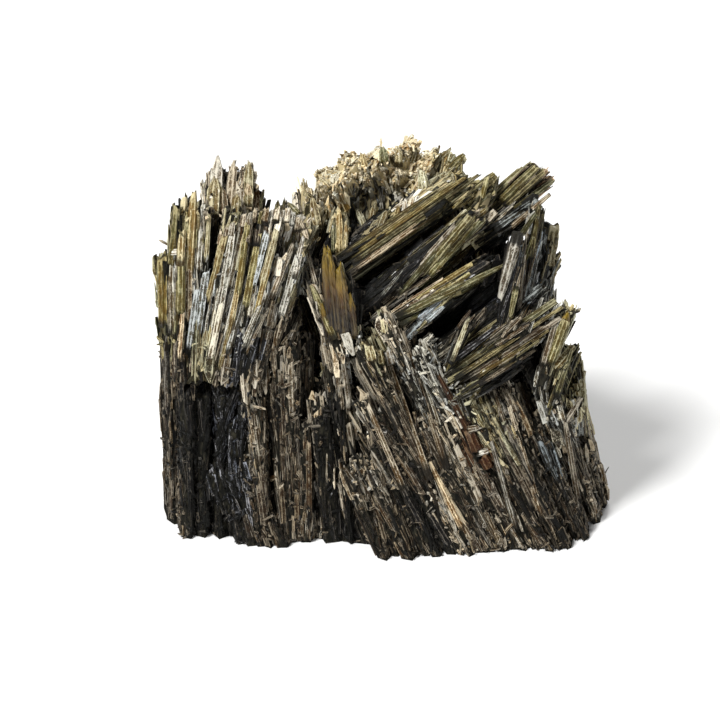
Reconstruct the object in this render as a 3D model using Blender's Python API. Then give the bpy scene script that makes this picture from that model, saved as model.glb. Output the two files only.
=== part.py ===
"""Epidote specimen: sheaves of striated prismatic crystals grown into one another and broken flat below.

Run with: blender --background --python part.py

The piece stands on its cut base at z = 0. +X runs along its broad face, -Y is that face's outward side,
+Z is up, and the origin is the middle of the base. All sizes below are in millimetres until MM scales them.

A sheaf is a bundle of nearly parallel crystals. Its two ends are given either where they stand on the base, or
where they lie on a drawing of the piece in perspective, made from a little above the broad face.
"""

import math
import random
from dataclasses import dataclass

import bmesh
import bpy
from mathutils import Matrix, Vector

MM = 0.001
SIDES = 6  # an epidote prism in cross-section, flattened
OVERLAP = 1.4  # a crystal's width over its share of the sheaf, so that neighbours grow into each other
BASE_SLAB = 30  # thickness of the block that trims the roots off below z = 0
BASE_SLAB_SIDE = 120
ROOT_BURIAL = 1.5  # how far the roots run on below the trim, or into the heart
BASE_MIDDLE = Vector((0.8, 1.5, 0.0))  # the middle of the base, in the drawing's own coordinates

# How unlike one another the crystals of a sheaf are. Pairs are the least and the most.
SHARE_WEIGHT = (0.6, 1.4)  # the part of the sheaf's breadth that a crystal takes, over the mean
THICKNESS = (0.85, 1.1)  # a crystal's thickness over its row's depth times OVERLAP
SNAPPED_REACH = (0.55, 0.9)  # what is left of the length of a crystal that has snapped off short
STEP_OUT = 0.25  # how far a crystal may stand out of its row, over the row's depth
STEP_OUT_DEPTH = 2.5  # the most depth that STEP_OUT counts
TWIST = 0.35  # the most a prism is turned about its axis, in radians
CORNER_SHIFT = 0.14  # the most a corner moves round the prism, in radians
LEAN = 0.5  # the steepest slope of an end across the prism
BACK_SLOPE = 0.3  # the slope of a snapped end, rising from face to back
END_SKEW = 0.3  # the share of LEAN that a chisel end or a point has
CHISEL_DROP = (0.35, 0.75)  # how far a chisel end falls away from its edge, over the thickness
POINT_LENGTH = 1.3  # the length of a pointed end, over the width

# The drawing: `across` and `rise` are measured on a sheet through the origin that leans back by DRAWING_TILT,
# and everything is seen from one eye, straight above the sheet's point DRAWING_CENTRE.
DRAWING_TILT = math.radians(24)
DRAWING_CENTRE = (-2.9, 21.0)
EYE_DISTANCE = 571
SHEET_RIGHT = Vector((1, 0, 0))
SHEET_UP = Vector((0, math.sin(DRAWING_TILT), math.cos(DRAWING_TILT)))
SHEET_OUT = Vector((0, -math.cos(DRAWING_TILT), math.sin(DRAWING_TILT)))
EYE = SHEET_RIGHT * DRAWING_CENTRE[0] + SHEET_UP * DRAWING_CENTRE[1] + SHEET_OUT * EYE_DISTANCE


def drawn(across, rise, y):
    """The point at depth y that the drawing shows at (across, rise)."""
    sight = SHEET_RIGHT * across + SHEET_UP * rise - EYE
    return EYE + sight * ((y - EYE.y) / sight.y) - BASE_MIDDLE


def standing(x, y):
    """A point on the base."""
    return Vector((x, y, 0)) - BASE_MIDDLE


@dataclass
class Sheaf:
    name: str
    root: Vector  # the middle of its face, where the crystals start
    tip: Vector  # the same where they end
    breadth: float  # across the face, at the tips
    depth: float  # behind the face
    across: int = 3  # crystals side by side
    rows: int = 1  # crystals one behind another
    fan: float = 0.9  # breadth at the roots over breadth at the tips
    ragged: float = 1.6  # how much the tips differ in length
    frayed: float = 0  # how much the roots differ in length, where they hang free
    broken: float = 0.35  # share of the face row that has snapped off short
    falling: float = 0  # how much lower the ends lie, for each millimetre further back
    ends: str = "chisel"  # chisel, point or snapped
    from_behind: bool = False  # the face looks towards +Y


LEFT_BUTTRESS = [
    Sheaf("left_step", standing(-28.0, -5.6), drawn(-29.6, 35.6, -7.4), 4.0, 9, across=2, rows=3, ragged=0.6,
          broken=0, falling=0.55, ends="snapped"),
    Sheaf("left_pillar", drawn(-27.4, 19.0, -8.4), drawn(-26.9, 44.2, -6.4), 5.0, 7, rows=2, ragged=2.2,
          frayed=1.2, broken=0.3, falling=0.5, ends="snapped"),
    Sheaf("buttress", drawn(-21.0, 19.4, -10.4), drawn(-16.9, 42.1, -9), 9.4, 8, across=5, rows=2, ragged=1.2,
          frayed=1.6, broken=0.4, falling=0.55, ends="snapped"),
    Sheaf("buttress_shoulder", drawn(-16.4, 22.0, -8.6), drawn(-11.3, 40.4, -7.5), 3.0, 6, across=2,
          frayed=1.5),
    Sheaf("buttress_foot", standing(-23.4, -9.0), drawn(-23.4, 20.0, -7.6), 10.4, 7, across=4, broken=0.3),
    Sheaf("corner_fan", standing(-15.8, -11.8), drawn(-24.0, 8.1, -9), 6.4, 5, across=3, broken=0.4),
    Sheaf("left_spires", drawn(-21.0, 30, 2), drawn(-21.8, 48.4, 4), 6.6, 5, across=5, ragged=3.2,
          broken=0.2, ends="point"),
    Sheaf("leaning_blade", drawn(-18.4, 37, 3), drawn(-16.8, 45.2, 4), 1.2, 2, across=1, ragged=0.3, broken=0,
          ends="point"),
]

MIDDLE_WALL = [
    Sheaf("wall_left", standing(-18.0, -11.8), drawn(-19.8, 19.0, -9.2), 5.4, 6, broken=0.5),
    Sheaf("wall_recess", drawn(-17.0, 14.0, -7.4), drawn(-13.6, 30.4, -7.6), 5.0, 6, broken=0.3),
    Sheaf("wall_middle", standing(-12.0, -11.4), drawn(-13.0, 25.4, -9.2), 5.2, 6, rows=2, broken=0.4),
    Sheaf("wall_right", standing(-5.6, -10.4), drawn(-8.4, 27.4, -8.8), 5.2, 5, broken=0.3),
    Sheaf("wall_crest", drawn(-6.2, 22.0, -9.6), drawn(-11.0, 35.6, -7.4), 2.2, 5, across=2, ragged=1.2),
    Sheaf("wall_crest_blade", drawn(-6.2, 23.0, -10.6), drawn(-9.9, 31.4, -9.4), 1.4, 2, across=1, ragged=0.4,
          broken=0, ends="point"),
]

FRONT_FAN = [
    Sheaf("fan_low_edge", standing(2.2, -15.8), drawn(-3.4, 7.6, -13), 4.8, 7, rows=2, fan=1.0, broken=0.2),
    Sheaf("fan_edge", standing(6.4, -15.2), drawn(-4.4, 15.6, -12.2), 4.0, 7, rows=2, broken=0.4),
    Sheaf("fan_left", standing(11.0, -14.8), drawn(-4.2, 23.8, -11.4), 4.0, 7, rows=2, broken=0.5),
    Sheaf("fan_peak", standing(15.0, -14.4), drawn(-0.2, 26.6, -11.4), 4.2, 7, rows=2, broken=0.5),
    Sheaf("fan_middle", standing(18.6, -14.0), drawn(4.8, 22.2, -11.6), 3.8, 6, rows=2, broken=0.5),
    Sheaf("fan_valley", standing(21.8, -13.4), drawn(9.4, 17.8, -11.8), 3.8, 6, rows=2, broken=0.4),
    Sheaf("fan_right", standing(24.8, -12.6), drawn(13.6, 16.0, -11.6), 3.8, 6, broken=0.4),
    Sheaf("fan_right_rim", standing(27.4, -10.4), drawn(17.6, 17.4, -11), 3.8, 6, broken=0.4),
    Sheaf("fan_ridge", standing(29.6, -5.0), drawn(22.0, 20.8, -9.8), 3.4, 6, across=2, broken=0.3),
    Sheaf("fan_edge_right", standing(30.6, 0.0), drawn(26.4, 14.6, -6.4), 3.4, 9, across=2, rows=3,
          broken=0.3),
]

UPPER_BLADES = [
    Sheaf("upper_blade", drawn(-5.3, 33.9, -3), drawn(14.1, 46.7, 1.5), 3.2, 5, fan=1.1, broken=0),
    Sheaf("middle_blade", drawn(-1.3, 28.6, -6), drawn(14.7, 40.8, -2.5), 4.0, 2.4, across=4, broken=0.2),
    Sheaf("under_blade", drawn(-1.0, 29.0, -3), drawn(11.4, 38.6, -0.5), 3.6, 3, across=2, ragged=2.4,
          broken=0.4),
    Sheaf("slender_blade", drawn(1.5, 26.6, -7.5), drawn(17.8, 36.1, -4), 1.6, 1.3, across=2, ragged=2.4,
          broken=0, ends="point"),
    Sheaf("lower_blade", drawn(4.6, 25.2, -8), drawn(12.0, 30.8, -6), 1.6, 1.6, across=1, broken=0),
    Sheaf("dark_blades", drawn(7.4, 19.4, -8.5), drawn(24.0, 31.4, -3.5), 4.0, 4, broken=0.2),
    Sheaf("front_blades", drawn(9.4, 18.0, -10.5), drawn(24.9, 27.7, -8), 5.4, 5, across=4, fan=0.55,
          broken=0.2, ragged=1.2),
    Sheaf("front_blades_low", drawn(12.4, 16.2, -11), drawn(21.9, 22.0, -9.5), 2.4, 4, across=2, fan=0.7,
          broken=0),
    Sheaf("crossing_blade", drawn(18.0, 26.0, -8), drawn(19.8, 38.6, -6), 2.0, 1.6, across=2, ragged=1.0,
          broken=0, ends="snapped"),
    Sheaf("crossing_sliver", drawn(20.8, 31.0, -5), drawn(22.4, 43.0, -2), 1.4, 1.6, across=1, ragged=0.3,
          broken=0),
    Sheaf("corner_block", drawn(16.6, 41.0, 3), drawn(23.4, 46.7, 3.6), 4.2, 4, across=3, rows=2, ragged=1.0,
          ends="snapped"),
    Sheaf("corner_under", drawn(15.6, 38.6, 0), drawn(24.2, 44.2, 1), 3.0, 4, across=3, ragged=1.2),
    Sheaf("short_tips", drawn(14.0, 42.0, 1), drawn(15.9, 47.3, 3), 2.2, 3, across=2, ragged=0.6, broken=0,
          ends="point"),
    Sheaf("right_edge", drawn(21.8, 28.0, -2), drawn(24.2, 40.4, 0), 4.0, 5),
    Sheaf("side_gold", drawn(23.6, 18.6, -8.8), drawn(26.9, 28.0, -7.5), 1.8, 3.5, across=1, ragged=0.3,
          broken=0),
    Sheaf("side_blade", drawn(24.6, 14.0, -8.5), drawn(27.0, 22.6, -7.5), 2.0, 4, across=1, ragged=0.3,
          broken=0),
    Sheaf("side_stub", drawn(26.0, 10.4, -7.5), drawn(28.4, 16.0, -6.5), 2.0, 4, across=1, ragged=0.3,
          broken=0),
    Sheaf("lone_sliver", drawn(10.2, 20.4, -10.2), drawn(12.7, 27.4, -9.2), 0.9, 1.0, across=1, ragged=0.2,
          broken=0, ends="point"),
]

HOLLOW_CRYSTALS = [
    Sheaf("golden_crystal", drawn(-6.2, 24.0, -10.4), drawn(-7.7, 37.2, -9.2), 1.7, 1.8, across=1, ragged=0.1,
          broken=0, ends="point"),
    Sheaf("golden_twin", drawn(-4.7, 24.0, -10), drawn(-5.6, 34.9, -9.2), 1.7, 1.8, across=1, ragged=0.1,
          broken=0, ends="point"),
    Sheaf("golden_sliver", drawn(-3.7, 24.0, -10), drawn(-3.9, 29.6, -9.4), 1.0, 1.1, across=1, ragged=0.1,
          broken=0, ends="point"),
    Sheaf("hollow_leaves", drawn(-11.5, 35, 3), drawn(-8.4, 43.7, 5), 3.4, 3, across=3, ends="point"),
    Sheaf("hollow_spire", drawn(-5.7, 34, 0), drawn(-5.8, 42.7, 2), 2.2, 2, across=2, ragged=1.2,
          ends="point"),
    Sheaf("hollow_teeth", drawn(-1.2, 35, 2), drawn(-0.4, 43.4, 5), 5.6, 3, across=4, ragged=2.2,
          ends="point"),
    Sheaf("pale_spires", drawn(3.2, 38, 3), drawn(4.0, 44.8, 6), 2.6, 3, across=2, ends="point"),
    Sheaf("pale_spire_tall", drawn(5.5, 40, 4), drawn(6.3, 48.2, 7), 1.8, 3, across=1, ragged=0.2, broken=0,
          ends="point"),
]

BACK_RIDGE = [
    Sheaf("ridge_start", drawn(-11.6, 34, 6), drawn(-13.0, 44.4, 9), 3.6, 5, across=2, ends="point"),
    Sheaf("ridge_rise", drawn(-8.0, 34, 7), drawn(-10.0, 47.4, 10), 4.0, 5, ends="point"),
    Sheaf("ridge_left", drawn(-3.6, 34, 8), drawn(-7.0, 49.2, 11), 4.2, 5, ragged=1.2),
    Sheaf("ridge_left_top", drawn(-0.6, 34, 8), drawn(-2.8, 50.6, 12), 4.0, 5),
    Sheaf("ridge_top", drawn(1.0, 34, 8), drawn(1.3, 51.8, 12), 4.0, 5),
    Sheaf("ridge_right_top", drawn(3.6, 34, 8), drawn(5.3, 50.8, 11.5), 4.0, 5, ragged=1.2),
    Sheaf("ridge_blades", drawn(5.6, 45, 8), drawn(9.6, 51.0, 10), 2.6, 5, across=2, ragged=0.8,
          ends="point"),
    Sheaf("ridge_end", drawn(7.6, 44, 7), drawn(11.8, 50.2, 9), 2.2, 5, across=2, ragged=0.8, ends="point"),
    Sheaf("ridge_apron", drawn(-1.4, 43.4, 13), drawn(-2.6, 45.0, 4.6), 13, 3, across=6, ragged=2.0,
          broken=0.2, ends="point"),
    Sheaf("ridge_roof", drawn(-0.6, 45.8, 14), drawn(-1.8, 47.0, 7.0), 12, 3, across=6, ragged=2.0,
          broken=0.2, ends="point"),
    Sheaf("ridge_cap", drawn(0.6, 48.0, 14.6), drawn(-0.4, 48.9, 9.6), 10.4, 2.6, across=5, ragged=1.8,
          broken=0.2, ends="point"),
]

BACK_WALL = [
    Sheaf("back_far_left", standing(-24.0, 11.0), drawn(-26.0, 39.4, 9), 7.0, 8, rows=2, from_behind=True),
    Sheaf("back_left", standing(-17.4, 14.4), drawn(-19.6, 41.6, 12), 7.4, 8, from_behind=True),
    Sheaf("back_left_mid", standing(-10.4, 16.6), drawn(-13.0, 39.4, 14.6), 7.2, 8, from_behind=True),
    Sheaf("back_middle", standing(-3.4, 18.0), drawn(-5.0, 48.0, 16.6), 7.4, 8, from_behind=True),
    Sheaf("back_right_mid", standing(4.0, 18.4), drawn(3.8, 49.2, 17), 7.4, 8, from_behind=True),
    Sheaf("back_right", standing(11.4, 17.4), drawn(11.4, 46.6, 14.6), 7.2, 8, from_behind=True),
    Sheaf("back_far_right", standing(18.6, 15.0), drawn(18.2, 44.4, 11), 7.0, 8, from_behind=True),
    Sheaf("back_corner", standing(24.6, 10.6), drawn(21.0, 34.0, 8), 5.6, 9, across=2, rows=3,
          from_behind=True),
    Sheaf("back_side", standing(28.4, 7.4), drawn(25.2, 23.0, 4.6), 4.8, 8, across=2, rows=3,
          from_behind=True),
    Sheaf("back_slope", standing(12.0, 19.4), drawn(-4.0, 30.0, 18.8), 9.0, 5, across=4, broken=0.4, ragged=4,
          from_behind=True),
    Sheaf("back_slope_low", standing(-12.0, 18.0), drawn(-20.4, 22.0, 16.2), 6.4, 5, ragged=4,
          from_behind=True),
]

# The heart that the sheaves grow from: (x, y) rings at a height, joined as convex blocks.
HEART_BLOCKS = [
    {
        -1.0: [(-26, -5), (-14, -9), (2, -13), (22, -10), (27, -3), (26, 6), (8, 14), (-12, 12), (-25, 7)],
        22.0: [(-25, -3), (-10, -5), (2, -7), (18, -7), (23, -3), (22, 5), (8, 12), (-12, 10), (-24, 5)],
    },
    {
        20.0: [(-27, -4), (-14, -5), (-13, 4), (-24, 7)],
        41.0: [(-27, -3), (-15, -4), (-15, 4), (-25, 5)],
    },
    {
        20.0: [(-12, 2), (10, 0), (22, -4), (22, 6), (10, 13), (-10, 12)],
        37.0: [(-8, 6), (4, 5), (20, 2), (20, 7), (8, 13), (-8, 12)],
    },
    {
        35.0: [(-8, 8), (12, 6), (18, 4), (18, 8), (8, 13), (-8, 12)],
        45.0: [(-4, 11), (6, 10), (8, 13), (-3, 13)],
    },
]


def prism(bm, root, axis, side, inward, length, width, thickness, ends, back_slope, dice):
    """Adds one closed crystal: a flattened hexagonal prism along axis, its far end shaped as ends says."""
    low, high = [], []
    turn = dice.uniform(-TWIST, TWIST)
    lean = dice.uniform(-LEAN, LEAN)
    drop = dice.uniform(*CHISEL_DROP) * thickness
    for i in range(SIDES):
        angle = turn + math.tau * i / SIDES + dice.uniform(-CORNER_SHIFT, CORNER_SHIFT)
        s = math.cos(angle) * width / 2
        t = math.sin(angle) * thickness / 2
        if ends == "snapped":
            end = lean * s + back_slope * t
        elif ends == "chisel":
            end = -drop * abs(t) / (thickness / 2) + END_SKEW * lean * s
        else:
            end = -POINT_LENGTH * width
        low.append(bm.verts.new(root + side * s + inward * t))
        high.append(bm.verts.new(root + side * s + inward * t + axis * (length + end)))
    for i in range(SIDES):
        j = (i + 1) % SIDES
        bm.faces.new((low[i], low[j], high[j], high[i]))
    bm.faces.new(low[::-1])
    if ends == "point":
        apex = bm.verts.new(root + axis * length + side * lean * END_SKEW * width)
        for i in range(SIDES):
            bm.faces.new((high[i], high[(i + 1) % SIDES], apex))
    else:
        bm.faces.new((high[0], high[1], high[2], high[3]))
        bm.faces.new((high[3], high[4], high[5], high[0]))


def uneven_shares(count, dice):
    """Splits a breadth of 1 into `count` unlike shares: (middle, width) of each, measured from the centre."""
    weights = [dice.uniform(*SHARE_WEIGHT) for _ in range(count)]
    shares, edge = [], -0.5
    for weight in weights:
        width = weight / sum(weights)
        shares.append((edge + width / 2, width))
        edge += width
    return shares


def grow(sheaf, made):
    """Grows the sheaf's crystals, row behind row, and adds each as a mesh object to the collection `made`."""
    dice = random.Random(sheaf.name)
    axis = (sheaf.tip - sheaf.root).normalized()
    inward = Vector((0, -1 if sheaf.from_behind else 1, 0))
    inward = (inward - axis * inward.dot(axis)).normalized()
    side = inward.cross(axis).normalized()
    length = (sheaf.tip - sheaf.root).length
    row_depth = sheaf.depth / sheaf.rows
    for row in range(sheaf.rows):
        for place, (middle, share) in enumerate(uneven_shares(sheaf.across, dice)):
            offset = middle * sheaf.breadth
            sink = (row + 0.5) * row_depth + dice.uniform(-STEP_OUT, STEP_OUT) * min(row_depth, STEP_OUT_DEPTH)
            start = sheaf.root + side * offset * sheaf.fan + inward * sink
            end = sheaf.tip + side * offset + inward * sink
            reach = length - dice.uniform(0, sheaf.ragged)
            reach -= sheaf.falling * (row + 0.5) * row_depth
            if row == 0 and dice.random() < sheaf.broken:
                reach *= dice.uniform(*SNAPPED_REACH)
            heading = (end - start).normalized()
            buried = ROOT_BURIAL - dice.uniform(0, sheaf.frayed)
            start = start - heading * buried
            width = share * sheaf.breadth * OVERLAP
            thickness = row_depth * OVERLAP * dice.uniform(*THICKNESS)
            bm = bmesh.new()
            slope = BACK_SLOPE - sheaf.falling
            prism(bm, start, heading, side, inward, reach + buried, width, thickness, sheaf.ends, slope, dice)
            bmesh.ops.recalc_face_normals(bm, faces=bm.faces)
            add_object(f"{sheaf.name}_{row}_{place}", bm, made)


def heart(blocks, made):
    """Adds the blocks that the sheaves grow from, each the convex hull of its two rings."""
    for number, rings in enumerate(blocks):
        bm = bmesh.new()
        for z, ring in rings.items():
            for x, y in ring:
                bm.verts.new(standing(x, y) + Vector((0, 0, z)))
        bmesh.ops.convex_hull(bm, input=bm.verts)
        bmesh.ops.recalc_face_normals(bm, faces=bm.faces)
        add_object(f"heart_{number}", bm, made)


def add_object(name, bm, collection):
    mesh = bpy.data.meshes.new(name)
    bm.to_mesh(mesh)
    bm.free()
    obj = bpy.data.objects.new(name, mesh)
    collection.objects.link(obj)
    return obj


def boolean(obj, operation, other, solver="EXACT"):
    """A Boolean with one object, or with a whole collection, applied to obj's mesh."""
    modifier = obj.modifiers.new(operation.lower(), "BOOLEAN")
    modifier.operation = operation
    modifier.solver = solver
    if isinstance(other, bpy.types.Collection):
        modifier.operand_type = "COLLECTION"
        modifier.collection = other
    else:
        modifier.object = other
    graph = bpy.context.evaluated_depsgraph_get()
    mesh = bpy.data.meshes.new_from_object(obj.evaluated_get(graph))
    obj.modifiers.clear()
    obj.data = mesh


def shells(bm):
    """The mesh's separate closed surfaces, each as a list of faces."""
    found, seen = [], set()
    for first in bm.faces:
        if first in seen:
            continue
        seen.add(first)
        shell = [first]
        for face in shell:
            for edge in face.edges:
                for neighbour in edge.link_faces:
                    if neighbour not in seen:
                        seen.add(neighbour)
                        shell.append(neighbour)
        found.append(shell)
    return found


def fill_sealed_hollows(obj):
    """Removes the walls of hollows that no opening leads to, so that the specimen is solid there."""
    bm = bmesh.new()
    bm.from_mesh(obj.data)
    outside = max(shells(bm), key=len)
    inner = set(bm.faces) - set(outside)
    bmesh.ops.delete(bm, geom=list(inner), context="FACES")
    bm.to_mesh(obj.data)
    bm.free()


def trim_block():
    """The block under z = 0 that trims the roots to one flat base."""
    bm = bmesh.new()
    bmesh.ops.create_cube(bm, size=1)
    bmesh.ops.scale(bm, vec=(BASE_SLAB_SIDE, BASE_SLAB_SIDE, BASE_SLAB), verts=bm.verts)
    bmesh.ops.translate(bm, vec=(0, 0, -BASE_SLAB / 2), verts=bm.verts)
    return add_object("trim_block", bm, bpy.context.scene.collection)


def epidote_material():
    material = bpy.data.materials.new("epidote")
    material.use_nodes = True
    shader = material.node_tree.nodes["Principled BSDF"]
    shader.inputs["Base Color"].default_value = (0.09, 0.08, 0.045, 1)
    shader.inputs["Roughness"].default_value = 0.42
    shader.inputs["Metallic"].default_value = 0.0
    return material


def clear_scene():
    for obj in list(bpy.data.objects):
        bpy.data.objects.remove(obj)


def main():
    clear_scene()
    grown = bpy.data.collections.new("grown")
    bpy.context.scene.collection.children.link(grown)
    heart(HEART_BLOCKS, grown)
    for group in (LEFT_BUTTRESS, MIDDLE_WALL, FRONT_FAN, UPPER_BLADES, HOLLOW_CRYSTALS, BACK_RIDGE, BACK_WALL):
        for sheaf in group:
            grow(sheaf, grown)
    specimen = grown.objects["heart_0"]
    grown.objects.unlink(specimen)
    bpy.context.scene.collection.objects.link(specimen)
    specimen.name = "epidote_cluster"
    boolean(specimen, "UNION", grown)
    # EXACT leaves edges with three faces where the trim crosses this many roots.
    boolean(specimen, "DIFFERENCE", trim_block(), solver="MANIFOLD")
    fill_sealed_hollows(specimen)
    for obj in list(bpy.data.objects):
        if obj != specimen:
            bpy.data.objects.remove(obj)
    specimen.data.transform(Matrix.Scale(MM, 4))
    specimen.data.materials.clear()
    specimen.data.materials.append(epidote_material())


main()
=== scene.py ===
# %% [markdown]
# # A cluster of epidote crystals
#
# Epidote grows as long dark olive prisms. In this specimen thousands of them are packed side by side, in
# bundles that lean different ways, and most are snapped off. The packed part gives the bundles their true
# size and place as large flat-sided prisms. This script grows the fine crystals on them: columns well under
# a millimetre wide, each one a small closed mesh, laid along the grain of the prism that carries it.

# %% Load the packed part
import math
from collections import defaultdict
from dataclasses import dataclass

import bpy
import numpy as np
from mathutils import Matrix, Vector
from mathutils.bvhtree import BVHTree
from mathutils.kdtree import KDTree


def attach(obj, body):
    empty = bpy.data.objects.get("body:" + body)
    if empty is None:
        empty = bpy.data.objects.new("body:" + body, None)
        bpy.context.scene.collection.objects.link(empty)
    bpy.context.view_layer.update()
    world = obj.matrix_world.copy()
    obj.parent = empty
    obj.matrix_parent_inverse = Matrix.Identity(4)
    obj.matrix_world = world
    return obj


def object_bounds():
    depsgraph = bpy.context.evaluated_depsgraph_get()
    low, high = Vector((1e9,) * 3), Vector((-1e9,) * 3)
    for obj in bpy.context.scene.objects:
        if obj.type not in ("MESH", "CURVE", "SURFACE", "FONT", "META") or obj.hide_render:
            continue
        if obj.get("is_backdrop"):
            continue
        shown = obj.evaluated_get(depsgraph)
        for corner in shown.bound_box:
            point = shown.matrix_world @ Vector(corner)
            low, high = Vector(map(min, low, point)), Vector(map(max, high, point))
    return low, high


MM = 0.001
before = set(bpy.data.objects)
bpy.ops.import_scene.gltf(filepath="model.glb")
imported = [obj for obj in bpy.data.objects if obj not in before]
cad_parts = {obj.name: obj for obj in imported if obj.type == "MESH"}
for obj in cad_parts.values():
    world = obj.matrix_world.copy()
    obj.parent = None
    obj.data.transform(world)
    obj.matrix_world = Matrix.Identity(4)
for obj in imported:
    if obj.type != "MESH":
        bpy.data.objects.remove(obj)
cad_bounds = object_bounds()
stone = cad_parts["epidote_cluster"]
dice = np.random.default_rng(20)
print("the packed part measures", [round((high - low) / MM, 1) for low, high in zip(*cad_bounds)], "mm")

# %% [markdown]
# ## The camera
#
# The specimen is looked at from the front, 24 degrees above level, through a long lens, so that its columns
# stay nearly parallel. A plane through its middle, square to that line of sight, is called the sheet:
# `on_sheet` tells where a point of the stone lies on it, in millimetres across and up. Colours are placed
# with it further down.

# %% Camera, lengths in mm
VIEW_TILT = math.radians(24)
VIEW_DISTANCE = 571.4
LENS = 200
SENSOR = 36
NEAREST_SEEN = 10
SHEET_MIDDLE = (-2.9, 21.0)
BASE_MIDDLE = np.array([0.8, 1.5, 0.0])

sheet_right = np.array([1.0, 0.0, 0.0])
sheet_up = np.array([0.0, math.sin(VIEW_TILT), math.cos(VIEW_TILT)])
sheet_out = np.array([0.0, -math.cos(VIEW_TILT), math.sin(VIEW_TILT)])
view_centre = sheet_right * SHEET_MIDDLE[0] + sheet_up * SHEET_MIDDLE[1] - BASE_MIDDLE
eye = view_centre + sheet_out * VIEW_DISTANCE


def on_sheet(points):
    """Where points of the stone, in mm, appear on the sheet: across and rise, in mm."""
    sight = points - eye
    spread = VIEW_DISTANCE / -(sight @ sheet_out)
    return SHEET_MIDDLE[0] + (sight @ sheet_right) * spread, SHEET_MIDDLE[1] + (sight @ sheet_up) * spread


def from_sheet(across, rise, y):
    """The point of the stone, in mm, at depth y that appears on the sheet at across and rise."""
    sight = sheet_right * across + sheet_up * rise - BASE_MIDDLE - eye
    return eye + sight * ((y - eye[1]) / sight[1])


camera_data = bpy.data.cameras.new("camera")
camera_data.lens = LENS
camera_data.sensor_width = SENSOR
camera_data.clip_start = NEAREST_SEEN * MM
camera = bpy.data.objects.new("camera", camera_data)
camera.location = Vector(eye) * MM
camera.rotation_euler = Vector(sheet_out).to_track_quat("Z", "Y").to_euler()
bpy.context.scene.collection.objects.link(camera)
bpy.context.scene.camera = camera
print("camera at", [round(value, 3) for value in camera.location])

# %% [markdown]
# ## Floor and light
#
# A pale floor and three soft lamps are enough. Crystals need contrast more than brightness: the strong key
# lamp stands at the upper left, so each small face turned towards it is bright while its neighbour stays
# dark. The fill lamp on the right is weak, and the one behind only lights tips and rims. The surrounding
# white is kept low too, so that the deep gaps go black.

# %% Floor, lamps and surroundings, in metres and watts
FLOOR_SIZE = 6.0
FLOOR_COLOR = (0.82, 0.82, 0.81)
LAMP_AIM = (0, 0, 0.025)
LAMPS = {
    "key_lamp": ((-0.75, -0.8, 1.25), 0.45, 45),
    "fill_lamp": ((0.9, -1.2, 0.5), 0.5, 6),
    "back_lamp": ((0.3, 1.1, 1.2), 0.6, 14),
}
SURROUNDING_LIGHT = 0.11


def add_lamp(name, place, size, power):
    """A square soft lamp at place that shines at the stone."""
    data = bpy.data.lights.new(name, "AREA")
    data.size = size
    data.energy = power
    lamp = bpy.data.objects.new(name, data)
    lamp.location = place
    lamp.rotation_euler = (Vector(place) - Vector(LAMP_AIM)).to_track_quat("Z", "Y").to_euler()
    bpy.context.scene.collection.objects.link(lamp)


def plain_material(name, color, roughness):
    """A new material with one colour, and its Principled shader."""
    material = bpy.data.materials.new(name)
    material.use_nodes = True
    shader = material.node_tree.nodes["Principled BSDF"]
    shader.inputs["Base Color"].default_value = (*color, 1)
    shader.inputs["Roughness"].default_value = roughness
    return material, shader


half = FLOOR_SIZE / 2
floor_corners = [(-half, -half, 0), (half, -half, 0), (half, half, 0), (-half, half, 0)]
floor_mesh = bpy.data.meshes.new("floor")
floor_mesh.from_pydata(floor_corners, [], [(0, 1, 2, 3)])
floor = bpy.data.objects.new("floor", floor_mesh)
bpy.context.scene.collection.objects.link(floor)
floor_mesh.materials.append(plain_material("pale_floor", FLOOR_COLOR, 0.6)[0])
floor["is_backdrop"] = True

for name, (place, size, power) in LAMPS.items():
    add_lamp(name, place, size, power)

world = bpy.data.worlds.new("surroundings")
bpy.context.scene.world = world
world.use_nodes = True
background = world.node_tree.nodes["Background"]
background.inputs["Color"].default_value = (1, 1, 1, 1)
background.inputs["Strength"].default_value = SURROUNDING_LIGHT
bpy.context.scene.view_settings.view_transform = "Standard"
print(len(LAMPS), "soft lamps and a pale floor")

# %% [markdown]
# ## Reading the grain of the stone
#
# Each prism of the part is flat-sided, and the long edges of a side run along the prism. So the grain can
# be read off the mesh: triangles that lie in one plane are gathered into faces, and the outline of a long
# face tells its direction. Short faces, such as broken ends, take the direction of the long faces around
# them.

# %% The surface as arrays, in millimetres
SAME_PLANE = math.cos(math.radians(1.5))
SAME_POINT_DIGITS = 4

mesh = stone.data
mesh.calc_loop_triangles()
raw_points = np.array([vertex.co for vertex in mesh.vertices]) / MM
raw_triangles = np.array([triangle.vertices for triangle in mesh.loop_triangles])
points, merged = np.unique(np.round(raw_points, SAME_POINT_DIGITS), axis=0, return_inverse=True)
triangles = merged.ravel()[raw_triangles]
different = [triangles[:, i] != triangles[:, i - 1] for i in range(3)]
triangles = triangles[np.all(different, axis=0)]
corner, second, third = (points[triangles[:, i]] for i in range(3))
cross = np.cross(second - corner, third - corner)
areas = np.linalg.norm(cross, axis=1) / 2
normals = cross / (2 * areas)[:, None]
surface = BVHTree.FromPolygons(points.tolist(), triangles.tolist())
print(len(triangles), "triangles,", round(areas.sum() / 100), "square centimetres of surface")

# %% Gather triangles into flat faces and read each face's direction
LONG_FACE = 3.5
SLENDER = 2.5
ROUNDEST = 0.35


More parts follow.
